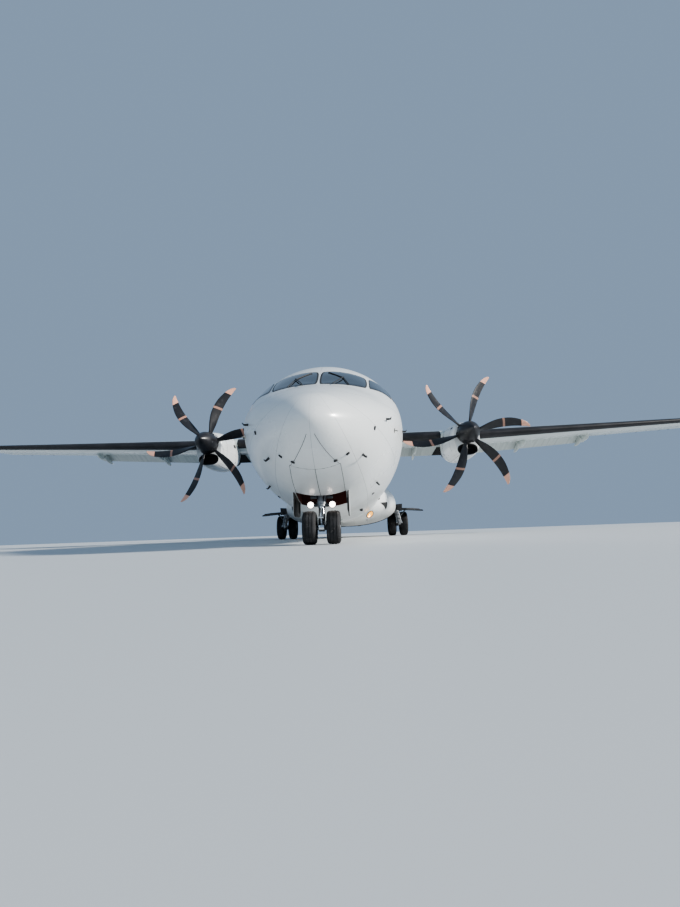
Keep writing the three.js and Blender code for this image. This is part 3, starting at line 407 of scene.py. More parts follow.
    def patch(self, hull, outline, finish, proud=0.004, sunk=0.02, hole=None, edge=0.94):
        """Plate on a hull's skin, round an outline of (station, angle) pairs, or a frame if it has a hole."""
        section = [(1.0, -sunk), (1.0, proud * 0.5), (edge, proud)]
        if hole:
            inside = [(hole, -sunk), (hole, proud * 0.5), (hole + (1 - hole) * 0.3, proud)]
            section = inside + section[::-1] + inside[:1]
        else:
            section += [(scale, proud) for scale in (0.7, 0.4, 0.12)]
        rings = [[hull.point(*point, grow) for point in scaled(outline, scale)] for scale, grow in section]
        self.loft(rings, finish, caps=(False, not hole))

    def done(self, name, body="airframe", stands_for=(), slot=None, side=1):
        """Makes the piece, lets it ride, and hides the frame nodes it stands for. Side -1 mirrors it."""
        if side < 0:
            bmesh.ops.scale(self.mesh, vec=(-1, 1, 1), verts=self.mesh.verts)
        bmesh.ops.remove_doubles(self.mesh, verts=self.mesh.verts, dist=2e-5)
        bmesh.ops.recalc_face_normals(self.mesh, faces=self.mesh.faces)
        mesh = bpy.data.meshes.new(name)
        self.mesh.to_mesh(mesh)
        self.mesh.free()
        for finish in self.finishes:
            mesh.materials.append(FINISHES[finish])
        piece = bpy.data.objects.new(name, mesh)
        bpy.context.scene.collection.objects.link(piece)
        mesh.set_sharp_from_angle(angle=SHARP_EDGE)
        if body:
            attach(piece, body)
        if stands_for:
            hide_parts(*stands_for)
        return piece

    def dressed(self, node, ending, slot, side=1, body="airframe"):
        """Makes the piece that stands for one node."""
        return self.done(f"{node}_{ending}", body, (node,), slot, side)

    def cutter(self, name, side=1):
        """Makes a solid that only cuts others."""
        return self.done(f"{name}_{side}", None, side=side)


def carve(piece, cutters):
    """Cuts solids out of a piece; the cut faces take the cutter's finish."""
    for cutter in cutters:
        modifier = piece.modifiers.new("carve", "BOOLEAN")
        modifier.operation, modifier.solver = "DIFFERENCE", "EXACT"
        modifier.material_mode, modifier.object = "TRANSFER", cutter
    bpy.context.view_layer.update()
    graph = bpy.context.evaluated_depsgraph_get()
    made = bpy.data.meshes.new_from_object(piece.evaluated_get(graph))
    old = piece.data
    piece.modifiers.clear()
    piece.data = made
    bpy.data.meshes.remove(old)
    made.set_sharp_from_angle(angle=SHARP_EDGE)
    for cutter in cutters:
        bpy.data.objects.remove(cutter)


# Finishes: node materials

FINISHES = {}


class Finish:
    """A node material, made from short calls. A socket takes a value or another node's output."""

    def __init__(self, name, colour, roughness, metallic=0.0):
        self.material = bpy.data.materials.new(name)
        self.material.use_nodes = True
        self.tree = self.material.node_tree
        self.shader = self.tree.nodes["Principled BSDF"]
        self.sets(Base_Color=(*colour, 1.0), Roughness=roughness, Metallic=metallic)
        self.place = self.node("ShaderNodeTexCoord").outputs["Object"]
        self.x, self.y, self.z = self.node("ShaderNodeSeparateXYZ", self.place).outputs
        self.span = self.math("ABSOLUTE", self.x)
        FINISHES[name] = self.material

    def sets(self, **sockets):
        for socket, value in sockets.items():
            self.fill(self.shader.inputs[socket.replace("_", " ")], value)

    def node(self, kind, *values, **settings):
        node = self.tree.nodes.new(kind)
        for key, value in settings.items():
            setattr(node, key, value)
        for socket, value in zip(node.inputs, values):
            self.fill(socket, value)
        return node

    def fill(self, socket, value):
        if isinstance(value, bpy.types.NodeSocket):
            self.tree.links.new(value, socket)
        elif value is not None:
            socket.default_value = value

    def math(self, operation, *values):
        return self.node("ShaderNodeMath", *values, operation=operation).outputs[0]

    def chain(self, operation, *values):
        total = values[0]
        for value in values[1:]:
            total = self.math(operation, total, value)
        return total

    def most(self, *values):
        return self.chain("MAXIMUM", *values)

    def times(self, *values):
        return self.chain("MULTIPLY", *values)

    def minus(self, a, b):
        return self.math("SUBTRACT", a, b)

    def apart(self, a, b):
        return self.math("ABSOLUTE", self.minus(a, b))

    def far(self, u, v):
        """Length of a flat vector."""
        return self.math("SQRT", self.math("ADD", self.math("POWER", u, 2.0), self.math("POWER", v, 2.0)))

    def ramp(self, value, low, high):
        """0 below low and 1 above high, with a soft step between; low may be the higher one."""
        node = self.node("ShaderNodeMapRange", value, min(low, high), max(low, high), float(low > high),
                         float(low < high), interpolation_type="SMOOTHSTEP")
        return node.outputs[0]

    def mix(self, part, a, b):
        node = self.node("ShaderNodeMix", part, data_type="RGBA")
        for socket, value in ((node.inputs[6], a), (node.inputs[7], b)):
            self.fill(socket, (*value, 1.0) if isinstance(value, tuple) else value)
        return node.outputs[2]

    def noise(self, scale, stretch=(1, 1, 1), detail=4.0, roughness=0.55):
        mapped = self.node("ShaderNodeMapping", self.place)
        mapped.inputs["Scale"].default_value = stretch
        node = self.node("ShaderNodeTexNoise", mapped.outputs[0])
        for socket, value in (("Scale", scale), ("Detail", detail), ("Roughness", roughness)):
            node.inputs[socket].default_value = value
        return node.outputs["Fac"]

    def band(self, value, low, high, soft):
        """1 between low and high."""
        rise, fall = self.ramp(value, low - soft, low + soft), self.ramp(value, high + soft, high - soft)
        return self.times(rise, fall)

    def seams(self, value, pitch, width, offset=0.0):
        """1 on thin lines at an even pitch."""
        near = self.math("PINGPONG", self.math("ADD", value, offset), pitch / 2)
        return self.ramp(near, width, width * 0.3)

    def bump(self, height, strength, distance):
        node = self.node("ShaderNodeBump")
        for socket, value in (("Strength", strength), ("Distance", distance), ("Height", height)):
            self.fill(node.inputs[socket], value)
        self.sets(Normal=node.outputs[0])


def plain(name, colour, roughness, metallic=0.0, grain=40.0, spread=0.35, bump=0.15, wear=None):
    """Finish with uneven tone and gloss and a fine grain, for small pieces."""
    finish = Finish(name, colour, roughness, metallic)
    patchy = finish.noise(grain * 0.12, detail=5.0)
    dark = tuple(c * (1 - spread) for c in colour)
    light = tuple(min(1.0, c * (1 + spread * 0.5)) for c in colour)
    tone = finish.mix(finish.ramp(patchy, 0.3, 0.7), dark, light)
    if wear:
        tone = finish.mix(finish.ramp(finish.noise(grain * 0.35, detail=6.0), 0.62, 0.72), tone, wear)
    finish.sets(Base_Color=tone, Roughness=finish.math("MULTIPLY_ADD", patchy, 0.3, roughness - 0.15))
    finish.bump(finish.noise(grain, detail=3.0), bump, 0.001)
    return finish


def nowhere(finish):
    """A mask that is nearly empty, only low noise."""
    return finish.ramp(finish.noise(0.4), 0.55, 0.9)


def painted(name, colour, grime, cross, lengthwise=(), streaks=nowhere, film=nowhere, soot=None, faint=0.35):
    """Gloss paint on skin panels: seams, and grime that runs aft.

    cross and lengthwise are masks of seams, and faint is how much the cross ones show.
    streaks, film and soot are masks of dirt.
    """
    finish = Finish(name, colour, 0.3)
    finish.sets(Coat_Weight=0.25, Coat_Roughness=0.12)
    seams = finish.times(finish.most(*[mask(finish) for mask in cross]), faint)
    seams = finish.most(seams, *[mask(finish) for mask in lengthwise])
    dark, light = tuple(c * 0.93 for c in colour), tuple(min(1.0, c * 1.03) for c in colour)
    tone = finish.mix(finish.ramp(finish.noise(0.55, detail=5.0), 0.3, 0.75), dark, light)
    dirty = streaks(finish)
    run = finish.ramp(finish.noise(6.0, (1.0, 0.03, 0.0), 3.0, 0.5), 0.38, 0.66)
    dirt = finish.most(finish.times(run, dirty), finish.times(seams, dirty))
    tone = finish.mix(finish.times(dirt, 0.85), tone, grime)
    low = finish.times(finish.ramp(finish.noise(1.1, (1.0, 0.35, 1.0), 6.0), 0.35, 0.8), film(finish))
    tone = finish.mix(finish.times(low, 0.35), tone, grime)
    tone = finish.mix(finish.times(seams, 0.5), tone, (0.2, 0.21, 0.21))
    if soot:
        tone = finish.mix(soot(finish), tone, tuple(0.2 * c for c in grime))
    finish.sets(Base_Color=tone, Roughness=finish.math("MULTIPLY_ADD", finish.most(dirt, low), 0.3, 0.27))
    wave = finish.times(finish.noise(0.9, detail=2.0), 0.35)
    finish.bump(finish.minus(wave, seams), 0.35, 0.004)


def over_fuselage(finish):
    """Seams lengthwise along the fuselage, at an even angle about its axis."""
    angle = finish.math("ARCTAN2", finish.minus(finish.z, AXIS_HEIGHT), finish.x)
    return finish.seams(angle, math.radians(30), 0.0045)


def across(axis, pitch, offset=0.0, width=0.006):
    """Seams at an even pitch along y or z, or out along the span."""
    return lambda finish: finish.seams(getattr(finish, axis), pitch, width, offset)


def wing_fraction(finish):
    """Chord fraction on the wing, and the chord there."""
    out = finish.most(finish.minus(finish.span, CENTRE_HALF), 0.0)
    part = finish.math("DIVIDE", out, HALF_SPAN - CENTRE_HALF)
    lead = finish.math("MULTIPLY_ADD", part, TIP_LEAD - CENTRE_LEAD, st(CENTRE_LEAD))
    chord = finish.math("MULTIPLY_ADD", part, TIP_CHORD - CENTRE_CHORD, CENTRE_CHORD)
    return finish.math("DIVIDE", finish.minus(finish.y, lead), chord), chord


def spanwise(finish):
    """Seams along the wing at chord fractions."""
    part, chord = wing_fraction(finish)
    lines = [finish.times(finish.apart(part, fraction), chord) for fraction in (0.13, 0.28, 0.56)]
    return finish.most(*[finish.ramp(line, 0.006, 0.002) for line in lines])


def access_panels(finish):
    """Outlines of oval panels under the wing, one in each rib bay."""
    part, chord = wing_fraction(finish)
    pitch = 0.62
    u = finish.minus(finish.math("PINGPONG", finish.span, pitch), pitch / 2)
    v = finish.times(finish.minus(part, 0.42), chord)
    far = finish.far(finish.math("DIVIDE", u, 0.17), finish.math("DIVIDE", v, 0.10))
    return finish.ramp(finish.apart(far, 1.0), 0.06, 0.02)


def aft_of(first, last, strength):
    """Dirt that grows from one station to another."""
    return lambda finish: finish.times(finish.ramp(finish.y, st(first), st(last)), strength)


def below(high, low):
    return lambda finish: finish.ramp(finish.z, high, low)


def fields(*rows):
    """Dirt on the underside. Rows: two distances to port, two stations, softness, strength."""

    def mask(finish):
        spots = []
        for near, far, first, last, soft, strength in rows:
            sideways = finish.band(finish.x, near, far, soft)
            aft = finish.band(finish.y, st(first), st(last), 0.15)
            spots.append(finish.times(sideways, aft, below(1.5, 1.2)(finish), strength))
        return finish.most(*spots)

    return mask


def make_finishes(colours):
    white, white_in_painted_shade, black, grime, boot = (
        tuple(getattr(colours, name)) for name in ("white", "white_in_painted_shade", "black", "grime", "boot")
    )
    painted(
        "fuselage_paint", white, grime, [across("y", 1.52, 0.2)], [over_fuselage],
        fields((-0.35, 0.95, 15.3, 19.5, 0.2, 0.55)), below(1.7, 0.5),
        fields((0.0, 0.16, 15.5, 19.3, 0.035, 0.55), (0.33, 0.44, 15.9, 18.1, 0.03, 0.8)),
    )
    painted(
        "belly_paint", white, grime, [across("y", 0.86, 0.1)],
        [lambda finish: finish.times(across("span", 0.44)(finish), below(0.8, 0.7)(finish))],
        fields((-0.22, 0.98, 12.45, 14.8, 0.03, 0.75)), below(1.5, 0.4),
        fields((0.0, 0.14, 12.7, 15.4, 0.03, 0.4), (0.86, 0.98, 12.5, 13.6, 0.04, 0.35)),
    )
    painted("crown_paint", white, grime, [across("y", 1.16)], [across("span", 0.7, 0.35)])
    # The wings' paint: the white in painted shade, grey-green, with real seams and grime
    painted(
        "wing_paint", white_in_painted_shade, grime, [across("span", 0.62, 0.1), spanwise, access_panels],
        streaks=aft_of(11.6, 12.9, 0.08), faint=0.45,
    )
    # The flaps' and ailerons' paint: the painted shade made darker still, with real seams and grime
    painted(
        "flap_paint", tuple(0.86 * c for c in white_in_painted_shade), grime, [across("span", 1.24, 0.3)],
        streaks=aft_of(12.6, 13.4, 0.1),
    )
    painted(
        "nacelle_paint", white, grime, [across("y", 0.92, 0.32)], [across("z", 0.44, 0.17, 0.004)],
        aft_of(10.8, 11.9, 0.25), below(3.1, 2.4),
    )
    painted("tail_paint", white, grime, [across("z", 0.94, 0.3)], [across("y", 1.31, 0.2)])
    # The tailplane's paint: the white in painted shade, with real seams
    painted("tailplane_paint", white_in_painted_shade, grime, [across("span", 0.78, 0.3)], [across("y", 0.62, 0.25)])
    # Name, colour, roughness, metallic, grain, spread, bump, wear
    for row in (
        ("boot_rubber", boot, 0.5, 0, 18, 0.5, 0.25),
        ("seal", (0.035, 0.037, 0.04), 0.6, 0, 60),
        # Near-black of joints, and of vents, drains, holes and the intake, where it is painted shade of their
        # openings
        ("gap", (0.03, 0.031, 0.032), 0.8, 0, 60),
        ("tyre_rubber", (0.028, 0.028, 0.03), 0.78, 0, 55, 0.6, 0.35, (0.09, 0.085, 0.08)),
        ("rim_alloy", (0.62, 0.64, 0.65), 0.4, 0.75, 70, 0.35, 0.15, (0.2, 0.19, 0.17)),
        ("gear_paint", (0.36, 0.38, 0.40), 0.38, 0.35, 45, 0.35, 0.15, (0.16, 0.14, 0.12)),
        ("gear_dark", (0.13, 0.14, 0.15), 0.5, 0.5, 50, 0.35, 0.15, (0.05, 0.045, 0.04)),
        ("piston_chrome", (0.8, 0.82, 0.84), 0.12, 1.0, 90, 0.1, 0.04),
        ("brake_steel", (0.2, 0.18, 0.17), 0.5, 0.85, 60, 0.35, 0.15, (0.25, 0.13, 0.07)),
        ("hose", (0.03, 0.03, 0.035), 0.55, 0, 90),
        ("black_composite", black, 0.34, 0, 30, 0.4, 0.08, (0.09, 0.09, 0.09)),
        ("door_black", black, 0.55, 0, 14, 0.6, 0.2, (0.1, 0.095, 0.085)),
        ("bay_primer", (0.06, 0.055, 0.05), 0.7, 0, 9, 0.7, 0.4, (0.14, 0.12, 0.08)),
        ("bay_red", (0.16, 0.035, 0.025), 0.65, 0, 12, 0.6, 0.3),
        # Grey of the linings, darker than the skin: partly their own grey, partly painted shade of the
        # openings behind the doors
        ("cabin_lining", (0.46, 0.47, 0.46), 0.6, 0, 20),
        ("step_grip", (0.12, 0.12, 0.125), 0.85, 0, 120, 0.35, 0.5),
        ("hot_steel", (0.045, 0.04, 0.037), 0.55, 0.6, 16, 0.7, 0.15, (0.02, 0.018, 0.016)),
        ("soot", (0.014, 0.013, 0.013), 0.75, 0, 8, 0.8, 0.3, (0.03, 0.028, 0.026)),
        ("engine_casing", (0.26, 0.27, 0.28), 0.5, 0.7, 20),
        ("probe_metal", (0.5, 0.46, 0.4), 0.3, 1.0, 80),
        ("antenna_white", tuple(c * 0.95 for c in white), 0.4, 0, 50, 0.15),
        ("beacon_glass", (0.42, 0.48, 0.45), 0.12, 0, 60, 0.2, 0.05),
        ("wick", (0.05, 0.05, 0.05), 0.7, 0, 90),
    ):
        plain(*row)
    glass = plain("cockpit_glass", (0.012, 0.016, 0.019), 0.06, grain=3, spread=0.5, bump=0.01)
    glass.sets(Coat_Weight=0.8, Coat_Roughness=0.03)
    plain("cabin_glass", (0.02, 0.024, 0.028), 0.1, grain=4, spread=0.5, bump=0.01).sets(Coat_Weight=0.6)
    for name, colour, strength in (
        ("landing_lamp", (1.0, 0.42, 0.02), 1.6),
        ("lamp_bulb", (1.0, 0.80, 0.50), 9.0),
        ("taxi_lamp", (1.0, 0.86, 0.78), 7.0),
        ("nav_red", (0.8, 0.02, 0.02), 0.6),
        ("nav_green", (0.02, 0.6, 0.16), 0.6),
        ("tail_lamp", (0.9, 0.9, 0.86), 0.5),
    ):
        lamp = plain(name, tuple(c * 0.8 for c in colour), 0.15, grain=60, bump=0.08)
        lamp.sets(Emission_Color=(*colour, 1.0), Emission_Strength=strength, Coat_Weight=0.7)
    blade_finish(black, tuple(colours.tip), colours.tip_from, colours.band_at)


def blade_finish(black, tip, tip_from, band_at):
    """Black blade with a pale tip and a thin pale band, by distance from the shaft."""
    finish = Finish("blade_composite", black, 0.38)
    far = finish.far(finish.minus(finish.span, ENGINE_X), finish.minus(finish.z, PROP_HEIGHT))
    pale = finish.most(
        finish.ramp(far, tip_from - 0.006, tip_from + 0.006),
        finish.times(finish.band(far, band_at, band_at + 0.07, 0.006), 0.5),
    )
    scuff = finish.ramp(finish.noise(9, detail=6.0), 0.55, 0.75)
    base = finish.mix(scuff, black, tuple(min(1, c * 1.7 + 0.006) for c in black))
    worn = finish.mix(finish.times(scuff, 0.5), tip, tuple(c * 0.75 for c in tip))
    tone = finish.mix(pale, base, worn)
    finish.sets(Base_Color=tone, Roughness=finish.math("MULTIPLY_ADD", scuff, 0.25, 0.3))
    finish.bump(finish.noise(50), 0.08, 0.001)


# Wing sections, in chord fractions

WING_BASE, CAMBER, DIHEDRAL = 3.408, 0.02, math.radians(2.5)
CENTRE_HALF, CENTRE_LEAD, CENTRE_CHORD, CENTRE_THICK = 4.85, 10.80, 2.57, 0.18
TIP_LEAD, TIP_CHORD, TIP_THICK = 11.515, 1.59, 0.13
FLAP_ANGLE = 30
FLAP_SPANS = {"inner": (1.64, 4.83), "outer": (4.87, 9.735)}
POD_PLACES = {"inner": (2.9, 4.69), "outer": (7.0, 9.4)}
FLAP_CUT = {"top_end": 0.785, "bottom_end": 0.69, "lip": 0.006, "cove": 0.03}
HINGE_ALONG, HINGE_BELOW = 0.8366, 0.1588
AILERON_SPAN, AILERON_HINGE = (9.78, 13.145), 0.72


class Foil:
    """A section of a wing or tail, addressed by chord fraction. Heights are in chords too."""

    def __init__(self, lead, chord, thickness, camber=0.0, base=0.0):
        self.lead, self.chord, self.thickness = lead, chord, thickness
        self.camber, self.base = camber, base

    def half(self, f):
        shape = 0.2969 * math.sqrt(max(f, 0.0)) - 0.126 * f - 0.3516 * f**2 + 0.2843 * f**3 - 0.1015 * f**4
        return 5 * self.thickness * shape

    def middle(self, f):
        return 4 * self.camber * f * (1 - f)

    def upper(self, f):
        return self.middle(f) + self.half(f)

    def lower(self, f):
        return self.middle(f) - self.half(f)

    def at(self, x, f, h=0.0):
        return put(x, self.lead + f * self.chord, self.base + h * self.chord)

    def upright(self, height, f, h=0.0):
        """A point of a section that lies flat, as the fin's do."""
        return put(h * self.chord, self.lead + f * self.chord, height)

    def fixed(self, top_end=1.0, bottom_end=1.0, lip=0.0, cove=0.0):
        """Outline of a fixed surface: flat at the back, or with a lip over a hollow cove."""
        steps, back_steps = 20, 6
        spread = [1 - math.cos(math.pi / 2 * k / steps) for k in range(steps + 1)]
        outline = [(0.0, 0.0)] + [(top_end * s, self.upper(top_end * s)) for s in spread[1:]]
        start, end = (top_end, self.upper(top_end) - lip), (bottom_end, self.lower(bottom_end))
        for k in range(1, back_steps + 1):
            part = (k - 1) / back_steps if lip else k / (back_steps + 1)
            bow = cove * 4 * part * (1 - part)
            outline.append((lerp(start[0], end[0], part) - bow * 0.35, lerp(start[1], end[1], part) + bow))
        return outline + [(bottom_end * s, self.lower(bottom_end * s)) for s in spread[:0:-1]]

    def hinge_cut(self, hinge):
        end = hinge - self.half(hinge) - 0.008 / self.chord
        return {"top_end": end, "bottom_end": end}

    def hinged(self, hinge):
        """Outline of a moving surface with a round nose about its hinge."""
        parts = even(hinge, 1.0, 8)
        outline = [(f, self.upper(f)) for f in parts] + [(f, self.lower(f)) for f in reversed(parts)]
        radius = self.half(hinge)
        for angle in (math.pi * k / 12 for k in range(1, 12)):
            outline.append((hinge - radius * math.sin(angle), self.middle(hinge) - radius * math.cos(angle)))
        return outline

    def flap(self):
        """Outline of a flap as it lies in the wing when it is up."""
        bottom, top = 0.716, 0.812
        outline = [(f, self.upper(f)) for f in even(top, 1.0, 8)]
        outline += [(f, self.lower(f)) for f in even(bottom, 1.0, 8)[::-1]]
        low, end = self.lower(bottom), (top, self.upper(top))
        nose = ((bottom, low), (bottom - 0.012, low + 0.022), (bottom + 0.01, low + 0.05), end)
        for t in (k / 12 for k in range(1, 12)):
            weights = ((1 - t) ** 3, 3 * t * (1 - t) ** 2, 3 * t * t * (1 - t), t**3)
            outline.append(tuple(sum(w * p[i] for w, p in zip(weights, nose)) for i in (0, 1)))
        return outline

    def ring(self, outline, x, shrink=0.0):
        """The outline as points; shrink draws it in toward its middle, for a round tip."""
        length, start = self.chord * (1 - shrink), self.lead + self.chord * shrink * 0.5
        return [put(x, start + f * length, self.base + h * length * (1 - shrink)) for f, h in outline]

    def boot(self, x, reach, proud):
        """Closed section of a thin boot round the leading edge."""
        steps, outside, inside = 12, [], []
        for k in range(-steps, steps + 1):
            f, slope = reach * (k / steps) ** 2, 1e-4
            surface, way = (self.upper, 1) if k > 0 else (self.lower, -1)
            h = surface(f) if k else 0.0
            normal = Vector((way * (h - surface(f + slope)), way * slope)) if k else Vector((-1.0, 0.0))
            normal.normalize()
            for points, grow in ((outside, proud if abs(k) < steps else 0.0), (inside, -0.004)):
                points.append(self.at(x, f, h) + Vector((0, *(normal * grow))))
        return outside + inside[::-1]


def wing_at(distance):
    out = max(0.0, distance - CENTRE_HALF)
    part = out / (HALF_SPAN - CENTRE_HALF)
    return Foil(
        lerp(CENTRE_LEAD, TIP_LEAD, part), lerp(CENTRE_CHORD, TIP_CHORD, part),
        lerp(CENTRE_THICK, TIP_THICK, part), CAMBER, WING_BASE + out * math.tan(DIHEDRAL),
    )


def pod(shape, distance, rows, finish, side=1):
    """Rounded fairing along the stream. Rows: chord fraction, bottom, top, half width in metres."""
    foil = wing_at(distance)
    rings = []
    for f, bottom, top, half in rows:
        middle, rise = (bottom + top) / 2, (top - bottom) / 2
        ring = [foil.at(side * (distance + half * c), f, middle + rise * s) for c, s in turns(16, 0, 2.6)]
        rings.append(ring)
    shape.loft(rings, finish)


def wing_pod(shape, distance, side=1):
    low, keel = wing_at(distance).lower, -HINGE_BELOW + 0.02
    rows = (
        (0.47, low(0.47) + 0.012, low(0.47) + 0.022, 0.012),
        (0.50, low(0.50) - 0.006, low(0.50) + 0.02, 0.03),
        (0.55, keel + 0.026, low(0.55) + 0.02, 0.042),
        (0.63, keel + 0.004, low(0.63) + 0.02, 0.048),
        (0.68, keel, low(0.68) + 0.01, 0.048),
        (0.712, keel, low(0.68) - 0.006, 0.046),
    )
    pod(shape, distance, rows, "wing_paint", side)


def flap_pod(shape, distance):
    low, keel = wing_at(distance).lower, -HINGE_BELOW + 0.02
    rows = (
        (0.735, keel + 0.002, low(0.735) + 0.008, 0.044),
        (0.79, keel, low(0.79) + 0.02, 0.048),
        (0.86, keel + 0.008, low(0.86) + 0.02, 0.046),
        (0.93, keel + 0.03, low(0.93) + 0.012, 0.04),
        (1.0, keel + 0.062, keel + 0.125, 0.03),
        (1.06, keel + 0.104, keel + 0.12, 0.008),
    )
    pod(shape, distance, rows, "flap_paint")


def under_sheet(shape, low, high, width_low, width_high):
    """Thin sooty sheet on the wing's underside behind the nacelle, between two chord fractions."""
    foil, proud, rings = wing_at(ENGINE_X), 0.004, []
    for f, half in zip(even(low, high, 8), even(width_low / 2, width_high / 2, 8)):
        section = ((-half, 0.003), (-half, -proud), (half, -proud), (half, 0.003))
        rings.append([foil.at(ENGINE_X + x, f, foil.lower(f)) + Vector((0, 0, z)) for x, z in section])
    shape.loft(rings, "soot")


# Settings


def length(name, description, default, **limits):
    return FloatProperty(name=name, description=description, default=default, unit="LENGTH", **limits)


def swatch(name, description, default):
    return FloatVectorProperty(
        name=name, description=description, default=default, size=3, min=0, max=1, subtype="COLOR"
    )


class AirlinerSizes(bpy.types.PropertyGroup):
    """Sizes of the details, in metres"""

    window_pitch: length("Window pitch", "Distance between cabin windows", 0.50, min=0.3)
    window_width: length("Window width", "Width of a cabin window", 0.25, min=0.1)
    window_height: length("Window height", "Height of a cabin window", 0.36, min=0.1)
    window_level: length("Window level", "Height of the windows' middle above the floor", 2.24)
    first_window: length("First window", "Station of the first cabin window", 5.3)
    window_count: IntProperty(
        name="Windows a side", description="Cabin windows on each side", default=26, min=1
    )
    boot_reach: FloatProperty(
        name="Boot reach", description="Share of the chord that a de-icing boot covers", default=0.088,
        subtype="FACTOR",
    )
    camera_lens: FloatProperty(
        name="Lens", description="Focal length of the camera in millimetres", default=18.0, min=8.0
    )
    camera_height: length("Camera height", "Height of the camera above the floor", 0.14)
    camera_distance: length("Camera distance", "Distance of the camera ahead of the nose", 4.8)
    camera_side: length("Camera side", "Distance of the camera to port of the nose", 0.45)
    camera_turn: FloatVectorProperty(
        name="Camera turn", description="Pitch up, yaw to port and roll of the camera",
        default=(math.radians(10), math.radians(1.5), math.radians(-2)), size=3, subtype="EULER",
    )


class AirlinerColours(bpy.types.PropertyGroup):
    """Colours of the paint and of the large rubber and composite pieces"""

    white: swatch("White", "Paint of the fuselage, fin and nacelles", (0.80, 0.82, 0.81))
    # The white paint as it looks in shade: painted shade, used as the colour of the wings, flaps, ailerons
    # and tailplane
    white_in_painted_shade: swatch("Grey-green", "Paint of the wings and tailplane", (0.68, 0.73, 0.70))
    black: swatch("Black", "Propellers, spinners and gear doors", (0.022, 0.022, 0.025))
    tip: swatch("Blade tips", "Tips and bands of the blades", (0.84, 0.46, 0.33))
    boot: swatch("Boots", "De-icing boots on the leading edges", (0.024, 0.023, 0.026))
    grime: swatch("Grime", "Soot and dirt that runs aft", (0.13, 0.12, 0.10))
    tip_from: length("Tip from", "Distance from the shaft where a blade's pale tip starts", 1.72)
    band_at: length("Band at", "Distance from the shaft of a blade's pale band", 1.13)


class AIRLINER_OT_finishes(bpy.types.Operator):
    """Makes the paints, rubbers, metals and glass"""

    bl_idname = "airliner.finishes"
    bl_label = "Finishes"

    def execute(self, context):
        make_finishes(context.scene.airliner_colours)
        return {"FINISHED"}


# Fuselage, its bays and its door openings

HULL = Hull(FUSELAGE_ROWS, round_ends=True)
BELLY = Hull(BELLY_ROWS, power=2.35)
CROWN = Hull(CROWN_ROWS, power=2.2)
WELL_RADIUS, WELL_ROOF = 0.47, 1.05
WELL_SLOT = ((0.70, 11.68), (1.35, 11.40), (2.2, 11.08), (2.2, 12.02), (1.5, 12.26), (0.9, 12.48))

# Doors: side, first and last station, lowest and highest angle, gap behind, window's and handle's angle
DOORS = {
    "passenger_door": (1, 18.56, 19.31, -29.0, 42.0, 0.008, 22, -4),
    "service_door": (-1, 18.60, 19.21, -22.5, 28.0, 0.022, 10, -4),
    "cargo_door": (1, 3.30, 4.59, -30.0, 34.0, 0.008, None, 4),
}
DOOR_EDGE, DOOR_THICKNESS, RECESS_FLOOR = 0.008, 0.042, 0.93


def well_cutters():
    """Solids of the two main wheel wells."""
    cutters = []
    for _, side in SIDES:
        shape = Shape()
        wall = [(WELL_RADIUS, -0.2), (WELL_RADIUS, WELL_ROOF)]
        shape.lathe(wall, put(0.60, 12.10, 0), "bay_primer", "z", 64)
        cutters.append(shape.cutter("well_cut", side))
        shape = Shape()
        shape.prism([(x, st(s)) for x, s in WELL_SLOT], "z", -0.2, WELL_ROOF - 0.001, "bay_primer")
        cutters.append(shape.cutter("slot_cut", side))
    return cutters


def recess_cutter(door):
    """Solid behind a door, between two radii about the fuselage axis."""
    side, first, last, low, high, rear, _, _ = DOORS[door]
    turn, far = math.degrees(DOOR_EDGE / RADIUS), 2.6
    outline = []
    for radius, degrees in (
        (RECESS_FLOOR, low - turn), (far, low - turn), (far, high + turn), (RECESS_FLOOR, high + turn),
    ):
        angle = math.radians(degrees)
        outline.append((radius * math.cos(angle), AXIS_HEIGHT + radius * math.sin(angle)))
    shape = Shape()
    # The recess's walls take the lining's grey, partly painted shade of the opening
    shape.prism(outline, "y", st(first - DOOR_EDGE), st(last + max(DOOR_EDGE, rear)), "cabin_lining")
    return shape.cutter(door, side)


def add_gaps():
    """Outlines of hatches and service panels, as thin dark gaps in the skin."""
    shape = Shape()
    # Hatches: side, station, height, length, width along the skin
    for side, station, height, along, width in (
        (1, 5.02, 2.05, 0.52, 0.95), (-1, 5.02, 2.05, 0.52, 0.95), (-1, 3.9, 1.7, 0.9, 1.1),
        (-1, 20.6, 2.0, 0.6, 0.5),
    ):
        centre = (station, HULL.angle_at(station, height, side))
        outline = rounded(centre, (along, math.degrees(width / 1.4)), 7.0, 48)
        shape.patch(HULL, outline, "gap", 0.0012, 0.004, 0.975, 0.99)
    # Oval lids under the tail: station, length
    for station, along in ((21.4, 0.5), (22.6, 0.3)):
        shape.patch(HULL, rounded((station, 270), (along, 24), 2.4, 32), "gap", 0.0012, 0.004, 0.94, 0.985)
    # The nose panel and the closed forward gear doors
    for path in (
        ((0.1, 0.045), (0.3, 0.15), (0.5, 0.24), (0.62, 0.3)), ((0.62, -0.31), (0.62, 0.31)),
        ((0.62, 0.31), (1.0, 0.33), (1.46, 0.34)), ((0.62, 0.0), (1.46, 0.0)),
    ):
        shape.joints(HULL, 0.003, path, [(s, -x) for s, x in path])
    # A closed service panel and its strap behind the belly fairing
    shape.joints(
        HULL, 0.004, ((15.42, -0.3), (15.45, 0.9)), ((15.72, -0.25), (15.74, 0.88)),
        ((15.42, 0.88), (16.9, 0.88), (19.0, 0.7)),
    )
    shape.done("panel_gaps", slot="white_skin")


